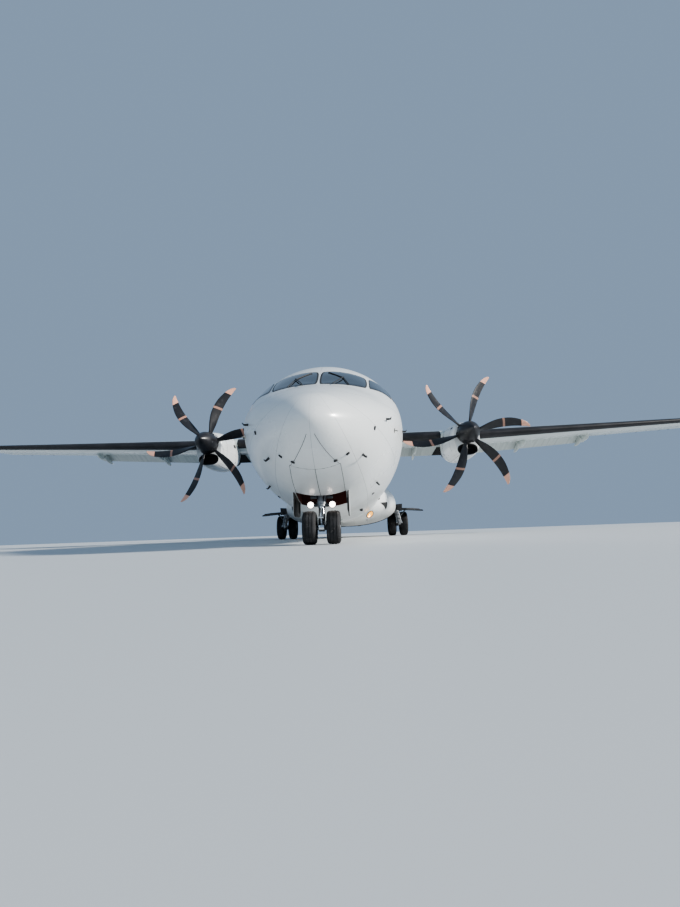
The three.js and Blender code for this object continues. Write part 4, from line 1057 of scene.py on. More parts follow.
class AIRLINER_OT_fuselage(bpy.types.Operator):
    """Adds the fuselage skin with its wheel bays and door openings"""

    bl_idname = "airliner.fuselage"
    bl_label = "Fuselage"

    def execute(self, context):
        shape = Shape()
        shape.loft(HULL.rings(108), "fuselage_paint", caps=OPEN)
        skin = shape.dressed("fuselage", "skin", "white_skin")
        bay = Shape()
        bay.block(put(-0.35, 1.47, 0.0), put(0.35, 2.25, 1.23), "bay_red")
        carve(skin, [bay.cutter("nose_bay"), *well_cutters(), *(recess_cutter(door) for door in DOORS)])
        add_gaps()
        return {"FINISHED"}


class AIRLINER_OT_glass(bpy.types.Operator):
    """Adds the windscreen panes with their frames, and the rows of cabin windows"""

    bl_idname = "airliner.glass"
    bl_label = "Glass"

    def execute(self, context):
        sizes = context.scene.airliner_sizes
        panes, frames, windows, rings = Shape(), Shape(), Shape(), Shape()
        # Corners of the port panes, and the wiper's arm and blade, as (station, angle)
        port = (
            ((1.46, 88.2), (1.66, 51.5), (2.27, 55.5), (2.17, 88.2)),
            ((1.72, 48.5), (2.2, 25.0), (2.62, 39.0), (2.33, 52.0)),
            ((2.28, 23.5), (3.02, 19.5), (2.95, 37.5), (2.70, 38.0)),
        )
        wiper = (
            (((1.40, 78), (1.62, 76), (1.86, 72)), 0.03, 0.008, 8),
            (((1.55, 66), (1.86, 72), (2.1, 84)), 0.018, 0.007, 6),
        )
        for turn in TO_PORT_AND_STARBOARD:
            for corners in port:
                outline = corners_cut([(s, turn(a)) for s, a in corners], 3, 0.1)
                panes.patch(HULL, outline, "cockpit_glass", 0.006, edge=0.97)
                frames.patch(HULL, scaled(outline, 1.07), "seal", 0.0035, hole=0.9, edge=0.985)
            for path, grow, radius, sides in wiper:
                frames.tube([HULL.point(s, turn(a), grow) for s, a in path], radius, "seal", sides)
        width, height = sizes.window_width, math.degrees(sizes.window_height / RADIUS)
        for side in (1, -1):
            for k in range(sizes.window_count):
                station = sizes.first_window + k * sizes.window_pitch
                centre = (station, HULL.angle_at(station, sizes.window_level, side))
                windows.patch(HULL, rounded(centre, (width, height), 3.2, 20), "cabin_glass", 0.003, 0.01)
                ring = rounded(centre, (width * 1.2, height * 1.14), 3.2, 20)
                rings.patch(HULL, ring, "seal", 0.0045, 0.01, 0.84, 0.97)
        panes.dressed("windscreen", "panes", "windscreen_glass")
        frames.done("windscreen_frames", slot="white_skin")
        windows.done("cabin_windows", slot="windscreen_glass")
        rings.done("cabin_window_rings", slot="white_skin")
        return {"FINISHED"}


def skin_point(side, station, degrees, grow):
    """Point on the skin where a ray at an angle about the fuselage axis meets it."""
    low, high = degrees - 14, degrees + 14
    for _ in range(22):
        middle = (low + high) / 2
        point = HULL.point(station, middle, grow)
        seen = math.degrees(math.atan2(point.z - AXIS_HEIGHT, point.x))
        low, high = (middle, high) if seen < degrees else (low, middle)
    return Vector((point.x * side, point.y, point.z))


def add_leaf(shape, name):
    side, first, last, low, high, _, level, handle = DOORS[name]

    def at(station, degrees, grow):
        return skin_point(side, station, degrees, grow)

    def sheet(outline, inner, outer, finish):
        shape.loft([[at(s, a, grow) for s, a in outline] for grow in (inner, outer)], finish)

    rims = []
    for grow, finish in ((0.0, "fuselage_paint"), (-DOOR_THICKNESS, "cabin_lining")):
        rows = [[at(s, a, grow) for a in even(low, high, 22)] for s in even(first, last, 8)]
        shape.loft(rows, finish, closed=False, caps=OPEN)
        rims.append(
            rows[0] + [row[-1] for row in rows[1:-1]] + rows[-1][::-1] + [row[0] for row in rows[-2:0:-1]]
        )
    shape.loft(rims, "seal", caps=OPEN)
    middle = spot = (first + last) / 2
    if name == "passenger_door":
        add_stairs(shape, first, last, at)
    if level:
        spot = first + 0.12
        for scale, inner, outer, finish in ((1.0, -0.004, 0.004, "seal"), (0.8, 0.0, 0.006, "cabin_glass")):
            sheet(rounded((middle, level), (0.22 * scale, 13 * scale), 3, 20), inner, outer, finish)
    grip = [(spot + s, handle + a) for s, a in ((-0.06, -2), (0.10, -2), (0.10, 2), (-0.06, 2))]
    sheet(grip, -0.004, 0.0015, "gap")
    shape.tube([at(spot - 0.04, handle, 0.004), at(spot + 0.08, handle, 0.004)], 0.009, "probe_metal", 8)


def add_stairs(shape, first, last, at):
    """Treads and rails on the lining, which the door shows when it hangs open."""
    half = Vector((0, 0, 0.014))
    for degrees in range(-24, 42, 11):
        near, far = at(first + 0.07, degrees, -DOOR_THICKNESS - 0.002), at(last - 0.07, degrees, -0.2)
        low, high = (min(near.x, far.x), near.y, near.z), (max(near.x, far.x), far.y, near.z)
        shape.block(Vector(low) - half, Vector(high) + half, "step_grip", 0.004)
    for station in (first + 0.045, last - 0.045):
        path = [at(station, a, -0.16 if -26 < a < 34 else -0.05) for a in range(-26, 37, 10)]
        shape.tube(path, 0.013, "piston_chrome", 10)


class AIRLINER_OT_doors(bpy.types.Operator):
    """Adds the passenger, service and cargo doors with their linings and handles"""

    bl_idname = "airliner.doors"
    bl_label = "Doors"

    def execute(self, context):
        for name in DOORS:
            shape = Shape()
            add_leaf(shape, name)
            shape.dressed(name, "leaf", "white_skin", body=name)
        return {"FINISHED"}


def add_vents():
    shape = Shape()
    # Dark triangles where the vents open: painted shade of the openings
    for flip in (1, -1):
        triangle = [(s, 270 + a * flip) for s, a in ((9.04, 81), (9.46, 87), (9.60, 66))]
        shape.patch(BELLY, corners_cut(triangle, 2, 0.06), "gap", 0.006, 0.01)
    # Dark drains, painted shade of their holes: station, angle, size
    for station, angle, size in ((9.75, 298, 0.05), (11.6, 271, 0.09), (13.2, 286, 0.1)):
        outline = rounded((station, angle), (size, math.degrees(size / 1.5)), 2.0, 20)
        shape.patch(BELLY, outline, "gap", 0.012, 0.01)
    # The fairing's rear edge, and the panel behind the wells
    shape.joints(
        BELLY, 0.004,
        ((14.4, -1.4), (14.5, -1.0), (14.65, -0.5), (14.7, 0.0), (14.65, 0.5), (14.5, 1.0), (14.4, 1.4)),
        ((12.62, -0.22), (13.9, -0.16), (14.6, -0.12)), ((12.62, 0.98), (13.4, 0.95)),
        ((13.9, -0.16), (13.9, 0.6)), ((13.9, 0.6), (13.4, 0.95)), ((13.0, 0.3), (13.9, 0.28)),
    )
    shape.done("belly_vents", slot="white_composite")


class AIRLINER_OT_fairings(bpy.types.Operator):
    """Adds the belly fairing with its wheel wells and vents, and the fairing over the wing root"""

    bl_idname = "airliner.fairings"
    bl_label = "Fairings"

    def execute(self, context):
        belly, crown = Shape(), Shape()
        belly.loft(BELLY.rings(96), "belly_paint")
        crown.loft(CROWN.rings(80), "crown_paint")
        belly_cuts, crown_cuts = well_cutters(), []
        for _, side in SIDES:
            room = Shape()
            room.lathe([(0.475, -0.395), (0.475, 0.6)], AXLE, "belly_paint", segments=64)
            belly_cuts.append(room.cutter("tyre_room", side))
            room = Shape()
            low = put(1.628, CENTRE_LEAD + 0.68 * CENTRE_CHORD, 2.0)
            room.block(low, put(3.0, 16.0, 4.2), "crown_paint")
            crown_cuts.append(room.cutter("flap_room", side))
        carve(belly.done("belly_skin", stands_for=("belly_fairing",), slot="white_composite"), belly_cuts)
        add_vents()
        carve(crown.done("crown_skin", stands_for=("wing_fairing",), slot="white_composite"), crown_cuts)
        return {"FINISHED"}


def add_outer(shape):
    inner, outer = AILERON_SPAN
    edge, end = (FLAP_SPANS["outer"][1] + inner) / 2, outer + 0.016
    inner_cut, outer_cut = (wing_at(x).hinge_cut(AILERON_HINGE) for x in (edge, outer))
    # Distance out, cut at the back, shrink toward the tip
    places = [
        (CENTRE_HALF + 0.0002, FLAP_CUT, 0.0), (edge, FLAP_CUT, 0.0), (edge + 0.002, inner_cut, 0.0),
        (end, outer_cut, 0.0), (end + 0.002, {}, 0.0), (HALF_SPAN - 0.13, {}, 0.0),
    ]
    tip = ((0.10, 0.01), (0.07, 0.03), (0.04, 0.08), (0.018, 0.18), (0.006, 0.29), (0, 0.42))
    places += [(HALF_SPAN - inward, {}, shrink) for inward, shrink in tip]
    rings = [wing_at(x).ring(wing_at(x).fixed(**ends), x, shrink) for x, ends, shrink in places]
    shape.loft(rings, "wing_paint")


class AIRLINER_OT_wings(bpy.types.Operator):
    """Adds the wings with their hinge pods and de-icing boots"""

    bl_idname = "airliner.wings"
    bl_label = "Wings"

    def execute(self, context):
        reach = context.scene.airliner_sizes.boot_reach
        shape = Shape()
        foil, half = wing_at(0.0), CENTRE_HALF - 0.0002
        shape.loft([foil.ring(foil.fixed(**FLAP_CUT), x) for x in (-half, half)], "wing_paint")
        for distance in POD_PLACES["inner"]:
            for side in (1, -1):
                wing_pod(shape, distance, side)
        shape.dressed("wing_centre", "skin", "white_skin")
        # The boots' rings stand where the wing's own skin has them
        kinks = (CENTRE_HALF, (FLAP_SPANS["outer"][1] + AILERON_SPAN[0]) / 2)
        for word, side in SIDES:
            shape = Shape()
            add_outer(shape)
            for distance in POD_PLACES["outer"]:
                wing_pod(shape, distance)
            shape.done(f"wing_skin_{word}", stands_for=(f"wing_{word}",), slot="white_skin", side=side)
            shape = Shape()
            for low, high in ((1.62, 3.58), (4.72, 13.13)):
                places = [low, *(x for x in kinks if low < x < high), high]
                shape.loft([wing_at(x).boot(x, reach, 0.0035) for x in places], "boot_rubber")
            shape.done(f"wing_boots_{word}", slot="black_composite", side=side)
        return {"FINISHED"}


class AIRLINER_OT_control_surfaces(bpy.types.Operator):
    """Adds the flaps, hung down, with their heat shields, and the ailerons"""

    bl_idname = "airliner.control_surfaces"
    bl_label = "Flaps and ailerons"

    def execute(self, context):
        for word, side in SIDES:
            for place, span in FLAP_SPANS.items():
                shape = Shape()
                start, end = (wing_at(x).at(x, HINGE_ALONG, -HINGE_BELOW) for x in span)
                turn = Matrix.Rotation(math.radians(-FLAP_ANGLE), 4, (end - start).normalized())
                shape.matrix = Matrix.Translation(start) @ turn @ Matrix.Translation(-start)
                shape.loft([wing_at(x).ring(wing_at(x).flap(), x) for x in span], "flap_paint")
                for distance in POD_PLACES[place]:
                    flap_pod(shape, distance)
                if place == "inner":
                    under_sheet(shape, 0.722, 0.997, 0.44, 0.72)
                name = f"flap_{place}_{word}"
                shape.dressed(name, "skin", "white_skin", side, name)
            shape = Shape()
            rings = [wing_at(x).ring(wing_at(x).hinged(AILERON_HINGE), x) for x in AILERON_SPAN]
            shape.loft(rings, "flap_paint")
            shape.wicks([wing_at(x).at(x, 1) for x in (10.6, 11.8, 12.7, 13.05)], (0.0, 0.13, -0.006))
            name = f"aileron_{word}"
            shape.dressed(name, "skin", "white_skin", side, name)
        return {"FINISHED"}


# Nacelles and propellers

NACELLE = Hull(NACELLE_ROWS, power=2.3, x=ENGINE_X)
NACELLE_FRONT = NACELLE_ROWS[0][0]
INTAKE_HALF_WIDTH, INTAKE_HALF_HEIGHT, INTAKE_HEIGHT, INTAKE_DEPTH = 0.30, 0.165, 2.580, 0.30
PIPE_RADIUS, PIPE_WALL, PIPE_HEIGHT, PIPE_FROM, PIPE_TO, PIPE_FLATTEN = 0.175, 0.014, 2.985, 12.13, 12.52, 0.8
BLADES, REST_TURN = 6, 13
HUB_RADIUS, HUB_FROM, HUB_TO = 0.318, -0.135, 0.128
BORE_RADIUS, BORE_FRONT = 0.083, 0.065
SPINNER_LENGTH = 0.620
# Distance from the shaft, chord, thickness, pitch in degrees, sweep of the middle line behind
BLADE_ROWS = (
    (0.230, 0.130, 0.096, 62, 0.0),
    (0.400, 0.170, 0.064, 57, -0.015),
    (0.650, 0.262, 0.042, 49, -0.038),
    (0.950, 0.304, 0.030, 41, -0.045),
    (1.250, 0.298, 0.023, 35, -0.010),
    (1.520, 0.262, 0.018, 30, 0.060),
    (1.750, 0.205, 0.013, 27, 0.155),
    (1.890, 0.140, 0.010, 25, 0.235),
    (1.965, 0.062, 0.007, 24, 0.300),
)


def intake_ring(station, scale=1.0):
    centre = put(ENGINE_X, station, INTAKE_HEIGHT)
    return oval(centre, INTAKE_HALF_WIDTH * scale, INTAKE_HALF_HEIGHT * scale, 64, 2.3)


def pipe_ring(station, grow):
    reach = PIPE_RADIUS + grow
    return oval(put(ENGINE_X, station, PIPE_HEIGHT), reach, reach * PIPE_FLATTEN)


def blacken_rear(shape):
    """Gives the underside behind a slanting edge the soot finish."""
    edge, away = put(ENGINE_X, 11.40, 2.57), Vector((0.0, 1.0, -1.04)).normalized()
    mesh, slot = shape.mesh, shape.slot("soot")
    bmesh.ops.bisect_plane(mesh, geom=[*mesh.verts, *mesh.edges, *mesh.faces], plane_co=edge, plane_no=away)
    for face in mesh.faces:
        middle = face.calc_center_median()
        if (middle - edge).dot(away) > 0 and middle.z < 3.25:
            face.material_index = slot


def add_fittings(word, side):
    shape = Shape()
    shape.hoop(intake_ring(NACELLE_FRONT + 0.002), 0.016, "boot_rubber")
    # Vents and drains, dark patches of painted shade in their openings: station, angle, length, width in
    # degrees
    for station, angle, along, width in (
        (10.66, 264, 0.05, 6), (10.75, 205, 0.05, 6), (9.55, 40, 0.22, 9), (9.55, 140, 0.22, 9),
        (10.6, 20, 0.3, 10), (10.6, 160, 0.3, 10),
    ):
        shape.patch(NACELLE, rounded((station, angle), (along, width), 3.5, 24), "gap", 0.0015, 0.008)
    for turn in TO_PORT_AND_STARBOARD:
        paths = [[(s, a) for a in range(-34, 44, 6)] for s in (9.62, 10.7, 11.4)]
        for path in paths + [[(s, 44) for s in even(9.62, 11.4, 8)]]:
            shape.tube([NACELLE.point(s, turn(a), 0.0002) for s, a in path], 0.0035, "gap", 4)
    edge = ((9.3, 0.25), (10.0, 0.25), (11.0, 0.2), (11.6, 0.13))
    shape.joints(
        NACELLE, 0.0028, edge, [(s, -x) for s, x in edge], ((10.3, -0.24), (10.3, 0.24)),
        ((10.3, 0.0), (11.6, 0.0)),
    )
    shape.done(f"nacelle_fittings_{word}", slot="white_skin", side=side)
    shape = Shape()
    under_sheet(shape, 0.46, 0.684, 0.38, 0.44)
    shape.done(f"heat_shield_{word}", slot="exhaust_steel", side=side)


def add_exhaust(word, side):
    shape = Shape()
    sections = (
        (PIPE_FROM, 0.0), (PIPE_TO - 0.05, 0.0), (PIPE_TO - 0.02, 0.0), (PIPE_TO - 0.003, -0.003),
        (PIPE_TO, -PIPE_WALL / 2), (PIPE_TO - 0.003, -PIPE_WALL + 0.002), (PIPE_TO - 0.03, -PIPE_WALL),
        (PIPE_FROM + 0.06, -PIPE_WALL - 0.02),
    )
    shape.loft([pipe_ring(*section) for section in sections], "hot_steel")
    shape.hoop(pipe_ring(PIPE_TO - 0.09, 0.003), 0.006, "hot_steel")
    shape.dressed(f"exhaust_{word}", "pipe", "exhaust_steel", side)


class AIRLINER_OT_nacelles(bpy.types.Operator):
    """Adds the nacelles with their intakes, vents and exhaust pipes"""

    bl_idname = "airliner.nacelles"
    bl_label = "Nacelles"

    def execute(self, context):
        lip = ((0.0, -0.028), (0.004, -0.014), (0.014, -0.004), (0.03, 0.0))
        for word, side in SIDES:
            shape, mouth, room = Shape(), Shape(), Shape()
            rings = [[NACELLE.point(NACELLE_FRONT + s, 3.75 * j, grow) for j in range(96)] for s, grow in lip]
            rings += [ring for ring in NACELLE.rings(96) if ring[0].y > st(NACELLE_FRONT + 0.04)]
            shape.loft(rings, "nacelle_paint")
            blacken_rear(shape)
            back = intake_ring(NACELLE_FRONT + INTAKE_DEPTH, 0.82)
            # The intake's walls and back take the near-black gap finish: painted shade of a deep duct
            mouth.loft([intake_ring(NACELLE_FRONT - 0.1), back], "gap")
            room.loft([pipe_ring(s, 0.004) for s in (PIPE_FROM - 0.0004, PIPE_TO + 0.1)], "hot_steel")
            skin = shape.dressed(f"nacelle_{word}", "skin", "white_skin", side)
            carve(skin, [mouth.cutter("mouth", side), room.cutter("pipe_room", side)])
            add_fittings(word, side)
            add_exhaust(word, side)
        return {"FINISHED"}


def add_blade(shape):
    steps, unit = 14, Foil(0.0, 1.0, 1.0)
    spread = [(1 - math.cos(math.pi * k / steps)) / 2 for k in range(steps + 1)]
    section = [(f - 0.5, unit.half(f)) for f in spread] + [(f - 0.5, -unit.half(f)) for f in spread[-2:0:-1]]
    rings = []
    for radius, chord, thickness, pitch, sweep in smooth(BLADE_ROWS, 5):
        c, s = math.cos(math.radians(pitch)), math.sin(math.radians(pitch))
        places = [(along * chord + sweep, out * thickness) for along, out in section]
        rings.append([(radius, a * s + b * c, b * s - a * c) for a, b in places])
    shape.loft(rings, "blade_composite")
    collar = ((0.115, 0.285), (0.115, 0.324), (0.1, 0.334), (0.075, 0.338), (0.075, 0.285))
    shape.lathe(collar, (0, 0, 0), "black_composite", segments=28, closed=True)


class AIRLINER_OT_propellers(bpy.types.Operator):
    """Adds the swept blades on their hubs, and the spinners"""

    bl_idname = "airliner.propellers"
    bl_label = "Propellers"

    def execute(self, context):
        hub = (
            (0.0, HUB_FROM), (HUB_RADIUS - 0.012, HUB_FROM), (HUB_RADIUS - 0.012, HUB_FROM + 0.004),
            (HUB_RADIUS, HUB_FROM + 0.006), (HUB_RADIUS, HUB_TO - 0.012), (HUB_RADIUS - 0.01, HUB_TO),
            (BORE_RADIUS, HUB_TO), (BORE_RADIUS, BORE_FRONT), (0.0, BORE_FRONT),
        )
        cone = [(0.0, 0.0), (HUB_RADIUS, 0.0)]
        cone += [(HUB_RADIUS * (1 - (k / 32) ** 2) ** 0.85, -SPINNER_LENGTH * k / 32) for k in range(1, 32)]
        cone.append((0.0, -SPINNER_LENGTH))
        for word, side in SIDES:
            shape, spinner = Shape(), Shape()
            shape.matrix = centre = Matrix.Translation(put(ENGINE_X * side, PROP_STATION, PROP_HEIGHT))
            shape.lathe(hub, (0, 0, 0), "black_composite", "y", 72)
            for k in range(BLADES):
                shape.matrix = centre @ Matrix.Rotation(math.radians(-REST_TURN - 360 / BLADES * k), 4, "Y")
                add_blade(shape)
            body = f"propeller_{word}"
            shape.done(f"{body}_blades", body, (f"propeller_blades_{word}",), "black_composite")
            spinner.matrix = centre @ Matrix.Translation((0, HUB_FROM - 0.0004, 0))
            spinner.lathe(cone, (0, 0, 0), "black_composite", "y", 72)
            for c, s in turns(12):
                foot, head = (Vector((reach * c, -0.045, reach * s)) for reach in (0.301, 0.3152))
                spinner.tube([foot, head], 0.008, "probe_metal", 8)
            spinner.done(f"{body}_spinner", body, (f"spinner_{word}",), "black_composite")
        return {"FINISHED"}


# Tail. The fin's ends: height, leading and trailing station, thickness. The tailplane's have no height

FIN_ENDS = ((3.000, 22.050, 26.490, 0.10), (7.190, 25.000, 26.960, 0.12))
RUDDER_HINGE, RUDDER_SPAN = 0.6, (3.370, 7.040)
TAIL_ENDS = ((24.970, 26.950, 0.115), (25.590, 26.780, 0.10))
TAIL_HEIGHT, TAIL_HALF = 7.430, 3.654
ELEVATOR_HINGE, ELEVATOR_SPAN = 0.66, (0.275, 3.400)


def fin_at(height):
    (low, *root), (high, *tip) = FIN_ENDS
    lead, rear, thickness = (lerp(a, b, (height - low) / (high - low)) for a, b in zip(root, tip))
    return Foil(lead, rear - lead, thickness)


def tail_at(distance):
    lead, rear, thickness = (lerp(a, b, distance / TAIL_HALF) for a, b in zip(*TAIL_ENDS))
    return Foil(lead, rear - lead, thickness, base=TAIL_HEIGHT)


def add_tailplane(reach):
    low, high = ELEVATOR_SPAN
    cut = tail_at((low + high) / 2).hinge_cut(ELEVATOR_HINGE)
    # Distance out, cut at the back, shrink toward the tip
    half = [
        (low - 0.012, {}, 0.0), (low - 0.010, cut, 0.0), (high + 0.012, cut, 0.0), (high + 0.014, {}, 0.0),
        (TAIL_HALF - 0.08, {}, 0.0), (TAIL_HALF - 0.045, {}, 0.05), (TAIL_HALF - 0.018, {}, 0.15),
        (TAIL_HALF, {}, 0.36),
    ]
    rings = []
    for side, rows in ((-1, half[::-1]), (1, half)):
        rings += [tail_at(x).ring(tail_at(x).fixed(**ends), x * side, shrink) for x, ends, shrink in rows]
    shape = Shape()
    shape.loft(rings, "tailplane_paint")
    shape.loft(Hull(BULLET_ROWS).rings(64), "tail_paint")
    shape.dressed("tailplane", "skin", "white_composite")
    for word, side in SIDES:
        shape = Shape()
        shape.loft([tail_at(x).boot(x, 1.5 * reach, 0.003) for x in even(0.32, 3.56, 8)], "boot_rubber")
        shape.done(f"tailplane_boot_{word}", slot="black_composite", side=side)
        shape = Shape()
        rings = [tail_at(x).ring(tail_at(x).hinged(ELEVATOR_HINGE), x) for x in even(low, high, 4)]
        shape.loft(rings, "tailplane_paint")
        shape.wicks([tail_at(x).at(x, 1) for x in (1.6, 2.5, 3.3)], (0, 0.11, 0))
        name = f"elevator_{word}"
        shape.dressed(name, "skin", "white_composite", side, name)


class AIRLINER_OT_tail(bpy.types.Operator):
    """Adds the fin, rudder, tailplane and elevators"""

    bl_idname = "airliner.tail"
    bl_label = "Tail"

    def execute(self, context):
        fin, rudder = Shape(), Shape()
        fin_heights = even(FIN_ENDS[0][0], FIN_ENDS[1][0], 6)
        for shape, heights in ((fin, fin_heights), (rudder, even(*RUDDER_SPAN, 4))):
            rings = []
            for z in heights:
                foil = fin_at(z)
                fixed = foil.fixed(**foil.hinge_cut(RUDDER_HINGE))
                outline = fixed if shape is fin else foil.hinged(RUDDER_HINGE)
                rings.append([foil.upright(z, f, h) for f, h in outline])
            shape.loft(rings, "tail_paint")
        fin.loft(Hull(DORSAL_ROWS, power=1.6).rings(36), "tail_paint")
        # A bent rod antenna on each side
        foil = fin_at(3.9)
        spot, reach = foil.upright(3.9, 0.45), 0.05 * foil.chord
        bends = ((0, 0), (0.11, 0.02), (0.12, 0.32))
        for flip in (1, -1):
            path = [spot + Vector((flip * (reach + x), y, 0)) for x, y in bends]
            fin.tube(path, 0.011, "antenna_white", 8)
        fin.dressed("fin", "skin", "white_composite")
        rudder.wicks([fin_at(z).upright(z, 1) for z in (5.6, 6.2, 6.8)], (0, 0.12, 0.004))
        rudder.dressed("rudder", "skin", "white_composite", body="rudder")
        add_tailplane(context.scene.airliner_sizes.boot_reach)
        return {"FINISHED"}


# Landing gear. The main gear's points are those of the port side

AXLE = put(2.05, 12.30, 0.43)
TRUNNION_FRONT, TRUNNION_REAR = put(1.56, 11.345, 0.95), put(1.56, 12.10, 0.95)
PIVOT, COLLAR, KNEE = put(1.66, 11.56, 0.93), put(1.96, 11.52, 0.86), put(2.05, 11.59, 0.47)
SHOCK_TOP, SHOCK_BOTTOM = put(1.955, 11.69, 0.855), put(2.05, 11.905, 0.52)
NOSE_AXLE, NOSE_TOP = put(0.0, 1.53, 0.23), put(0.0, 1.795, 1.245)
MAIN_WHEEL = {"radius": 0.430, "width": 0.285, "rim": 0.205, "offset": 0.2125, "bore": 0.0598}
NOSE_WHEEL = {"radius": 0.230, "width": 0.190, "rim": 0.112, "offset": 0.165, "bore": 0.0378}
PLATE_HINGE, PLATE_THICKNESS = (1.9, 0, 0.95), 0.034
DOOR_PLATE = (
    (1.900, 11.400), (2.330, 11.450), (2.640, 11.590), (2.860, 11.850), (2.665, 12.080), (2.740, 12.240),
    (2.870, 12.430), (3.120, 12.790), (3.040, 12.960), (2.690, 12.640), (2.330, 12.400), (2.100, 12.180),
    (1.990, 12.030), (1.900, 11.900),
)
DOOR_RIBS = (
    ((1.98, 11.62), (2.60, 11.72)),
    ((2.02, 11.92), (2.62, 11.98)),
    ((2.42, 12.3), (3.06, 12.72)),
)
DOOR_LINKS = (
    ((2.045, 11.585, 0.640), (2.330, 11.640, 0.945)),
    ((1.985, 11.530, 0.800), (2.150, 11.560, 0.945)),
)


def add_leg(word, side):
    shape = Shape()
    # Start, end, radius, finish, sides, collars, how far they stand out
    for bar in (
        (TRUNNION_FRONT, TRUNNION_REAR, 0.060, "gear_dark", 24, (0.12, 0.5, 0.88)),
        (put(1.56, 11.56, 0.95), PIVOT, 0.0704, "gear_paint"),
        (PIVOT, COLLAR, 0.088, "gear_paint", 28, (0.3, 0.75), 0.006),
        (COLLAR, KNEE, 0.084, "gear_paint", 28, (0.3, 0.62), 0.008),
        (KNEE, AXLE, 0.052, "gear_paint", 24, (0.3, 0.62), 0.007),
        (AXLE - X * 0.062, AXLE + X * 0.062, 0.082, "gear_paint", 28),
    ):
        shape.bar(*bar)
    ball = [(0.088 * math.sin(math.pi * k / 8), -0.088 * math.cos(math.pi * k / 8)) for k in range(9)]
    for centre in (COLLAR, KNEE):
        shape.lathe(ball, centre, "gear_paint", "z", 24)
    ends = [AXLE + X * reach for reach in (-0.345, -0.333, 0.333, 0.345)]
    shape.tube(ends, [0.046, 0.058, 0.058, 0.046], "gear_dark", 28)
    for flip in (1, -1):
        pin = KNEE + X * 0.082 * flip
        shape.tube([pin, pin + X * 0.02 * flip], 0.036, "piston_chrome", 18)
        # Brake: discs and pistons at the inner side of the wheel
        for x in (0.0665, 0.075, 0.0835):
            disc = [(r, flip * x + reach) for r, reach in
                    ((0.062, -0.003), (0.142, -0.003), (0.142, 0.003), (0.062, 0.003))]
            shape.lathe(disc, AXLE, "brake_steel", segments=40, closed=True)
        shape.pins(AXLE + X * 0.056 * flip, 0.105, 5, 0.022, flip * 0.012, "gear_dark", 12, 0.3)
        hose = [
            COLLAR + Vector((0.03 * flip, -0.098, -0.03)),
            COLLAR.lerp(KNEE, 0.55) + Vector((0.04 * flip, -0.105, 0)),
            KNEE + Vector((0.055 * flip, -0.08, -0.05)),
            KNEE.lerp(AXLE, 0.3) + Vector((0.04 * flip, 0, -0.078)),
            AXLE + Vector((0.04 * flip, -0.10, -0.05)),
        ]
        shape.tube(curve(hose, 6), 0.009, "hose", 8)
    for part in (0.35, 0.7):
        spot = COLLAR.lerp(KNEE, part)
        clip = (spot - Vector((0.055, 0.118, 0.012)), spot + Vector((0.055, -0.075, 0.012)))
        shape.block(*clip, "gear_dark", 0.004)
    shape.dressed(f"main_leg_{word}", "assembly", "gear_alloy", side)

    shape = Shape()
    split = SHOCK_TOP.lerp(SHOCK_BOTTOM, 0.55)
    shape.bar(SHOCK_TOP, split, 0.062, "gear_paint", 28, (0.12, 0.85), 0.007, 0.012)
    shape.bar(split, SHOCK_BOTTOM, 0.042, "piston_chrome", 28)
    eye = [(0.02, -0.05), (0.05, -0.05), (0.05, 0.05), (0.02, 0.05)]
    shape.lathe(eye, SHOCK_BOTTOM, "gear_dark", segments=24, closed=True)
    shape.dressed(f"main_shock_{word}", "strut", "wheel_alloy", side)


def add_door(word, side):
    shape = Shape()
    hinge, half = Matrix.Translation(PLATE_HINGE), PLATE_THICKNESS / 2
    back = Matrix.Translation((-PLATE_HINGE[0], 0, 0))
    shape.matrix = hinge @ Matrix.Rotation(math.radians(2), 4, "Y") @ back
    outline = corners_cut([(x, st(s)) for x, s in DOOR_PLATE], 2, 0.12)
    shape.prism(outline, "z", -half, half, "door_black", 0.006)
    for rib in DOOR_RIBS:
        shape.tube([put(*end, half) for end in rib], 0.016, "gear_dark", 8)
    shape.matrix = Matrix()
    for a, b in DOOR_LINKS:
        shape.bar(put(*a), put(*b), 0.022, "gear_dark", 14, (0.3, 0.75), 0.005)
    flag = ((1.88, 1.08), (1.90, 0.90), (2.13, 0.84), (2.15, 1.10))
    shape.prism(flag, "y", st(11.26), st(11.275), "door_black", 0.003)
    shape.dressed(f"main_gear_door_{word}", "plate", "black_composite", side)


class AIRLINER_OT_main_gear(bpy.types.Operator):
    """Adds the main legs with their trailing arms, shock struts, brakes and doors"""

    bl_idname = "airliner.main_gear"
    bl_label = "Main gear"

    def execute(self, context):
        for word, side in SIDES:
            add_leg(word, side)
            add_door(word, side)
        return {"FINISHED"}


def tyre_profile(wheel, grooves):
    """Section of a tyre: round shoulders, grooves on the tread, and a flat seat on the rim."""
    radius, half, rim = wheel["radius"], wheel["width"] / 2, wheel["rim"] + 0.0004
    middle = (radius + rim) / 2
    width, wall, depth = 0.0055, 0.0008, 0.007
    xs = [half * math.sin(math.pi / 2 * k / 14) for k in range(-14, 15)]
    for groove in grooves:
        xs = [x for x in xs if abs(x - groove) > width * 1.6]
        xs += [groove - width, groove - width + wall, groove + width - wall, groove + width]
    profile = []
    for x in sorted(xs):
        outer = middle + (radius - middle) * (1 - min(1.0, abs(x) / half) ** 3.4) ** (1 / 2.6)
        cut = any(abs(x - groove) < width - wall / 2 for groove in grooves)
        profile.append((outer - (depth if cut else 0.0), x))
    low = []
    for angle in (math.pi / 2 * k / 5 for k in range(1, 6)):
        low.append((middle - (middle - rim) * math.sin(angle), half * (0.62 + 0.38 * math.cos(angle))))
    return profile + low + [(r, -x) for r, x in low[::-1]]


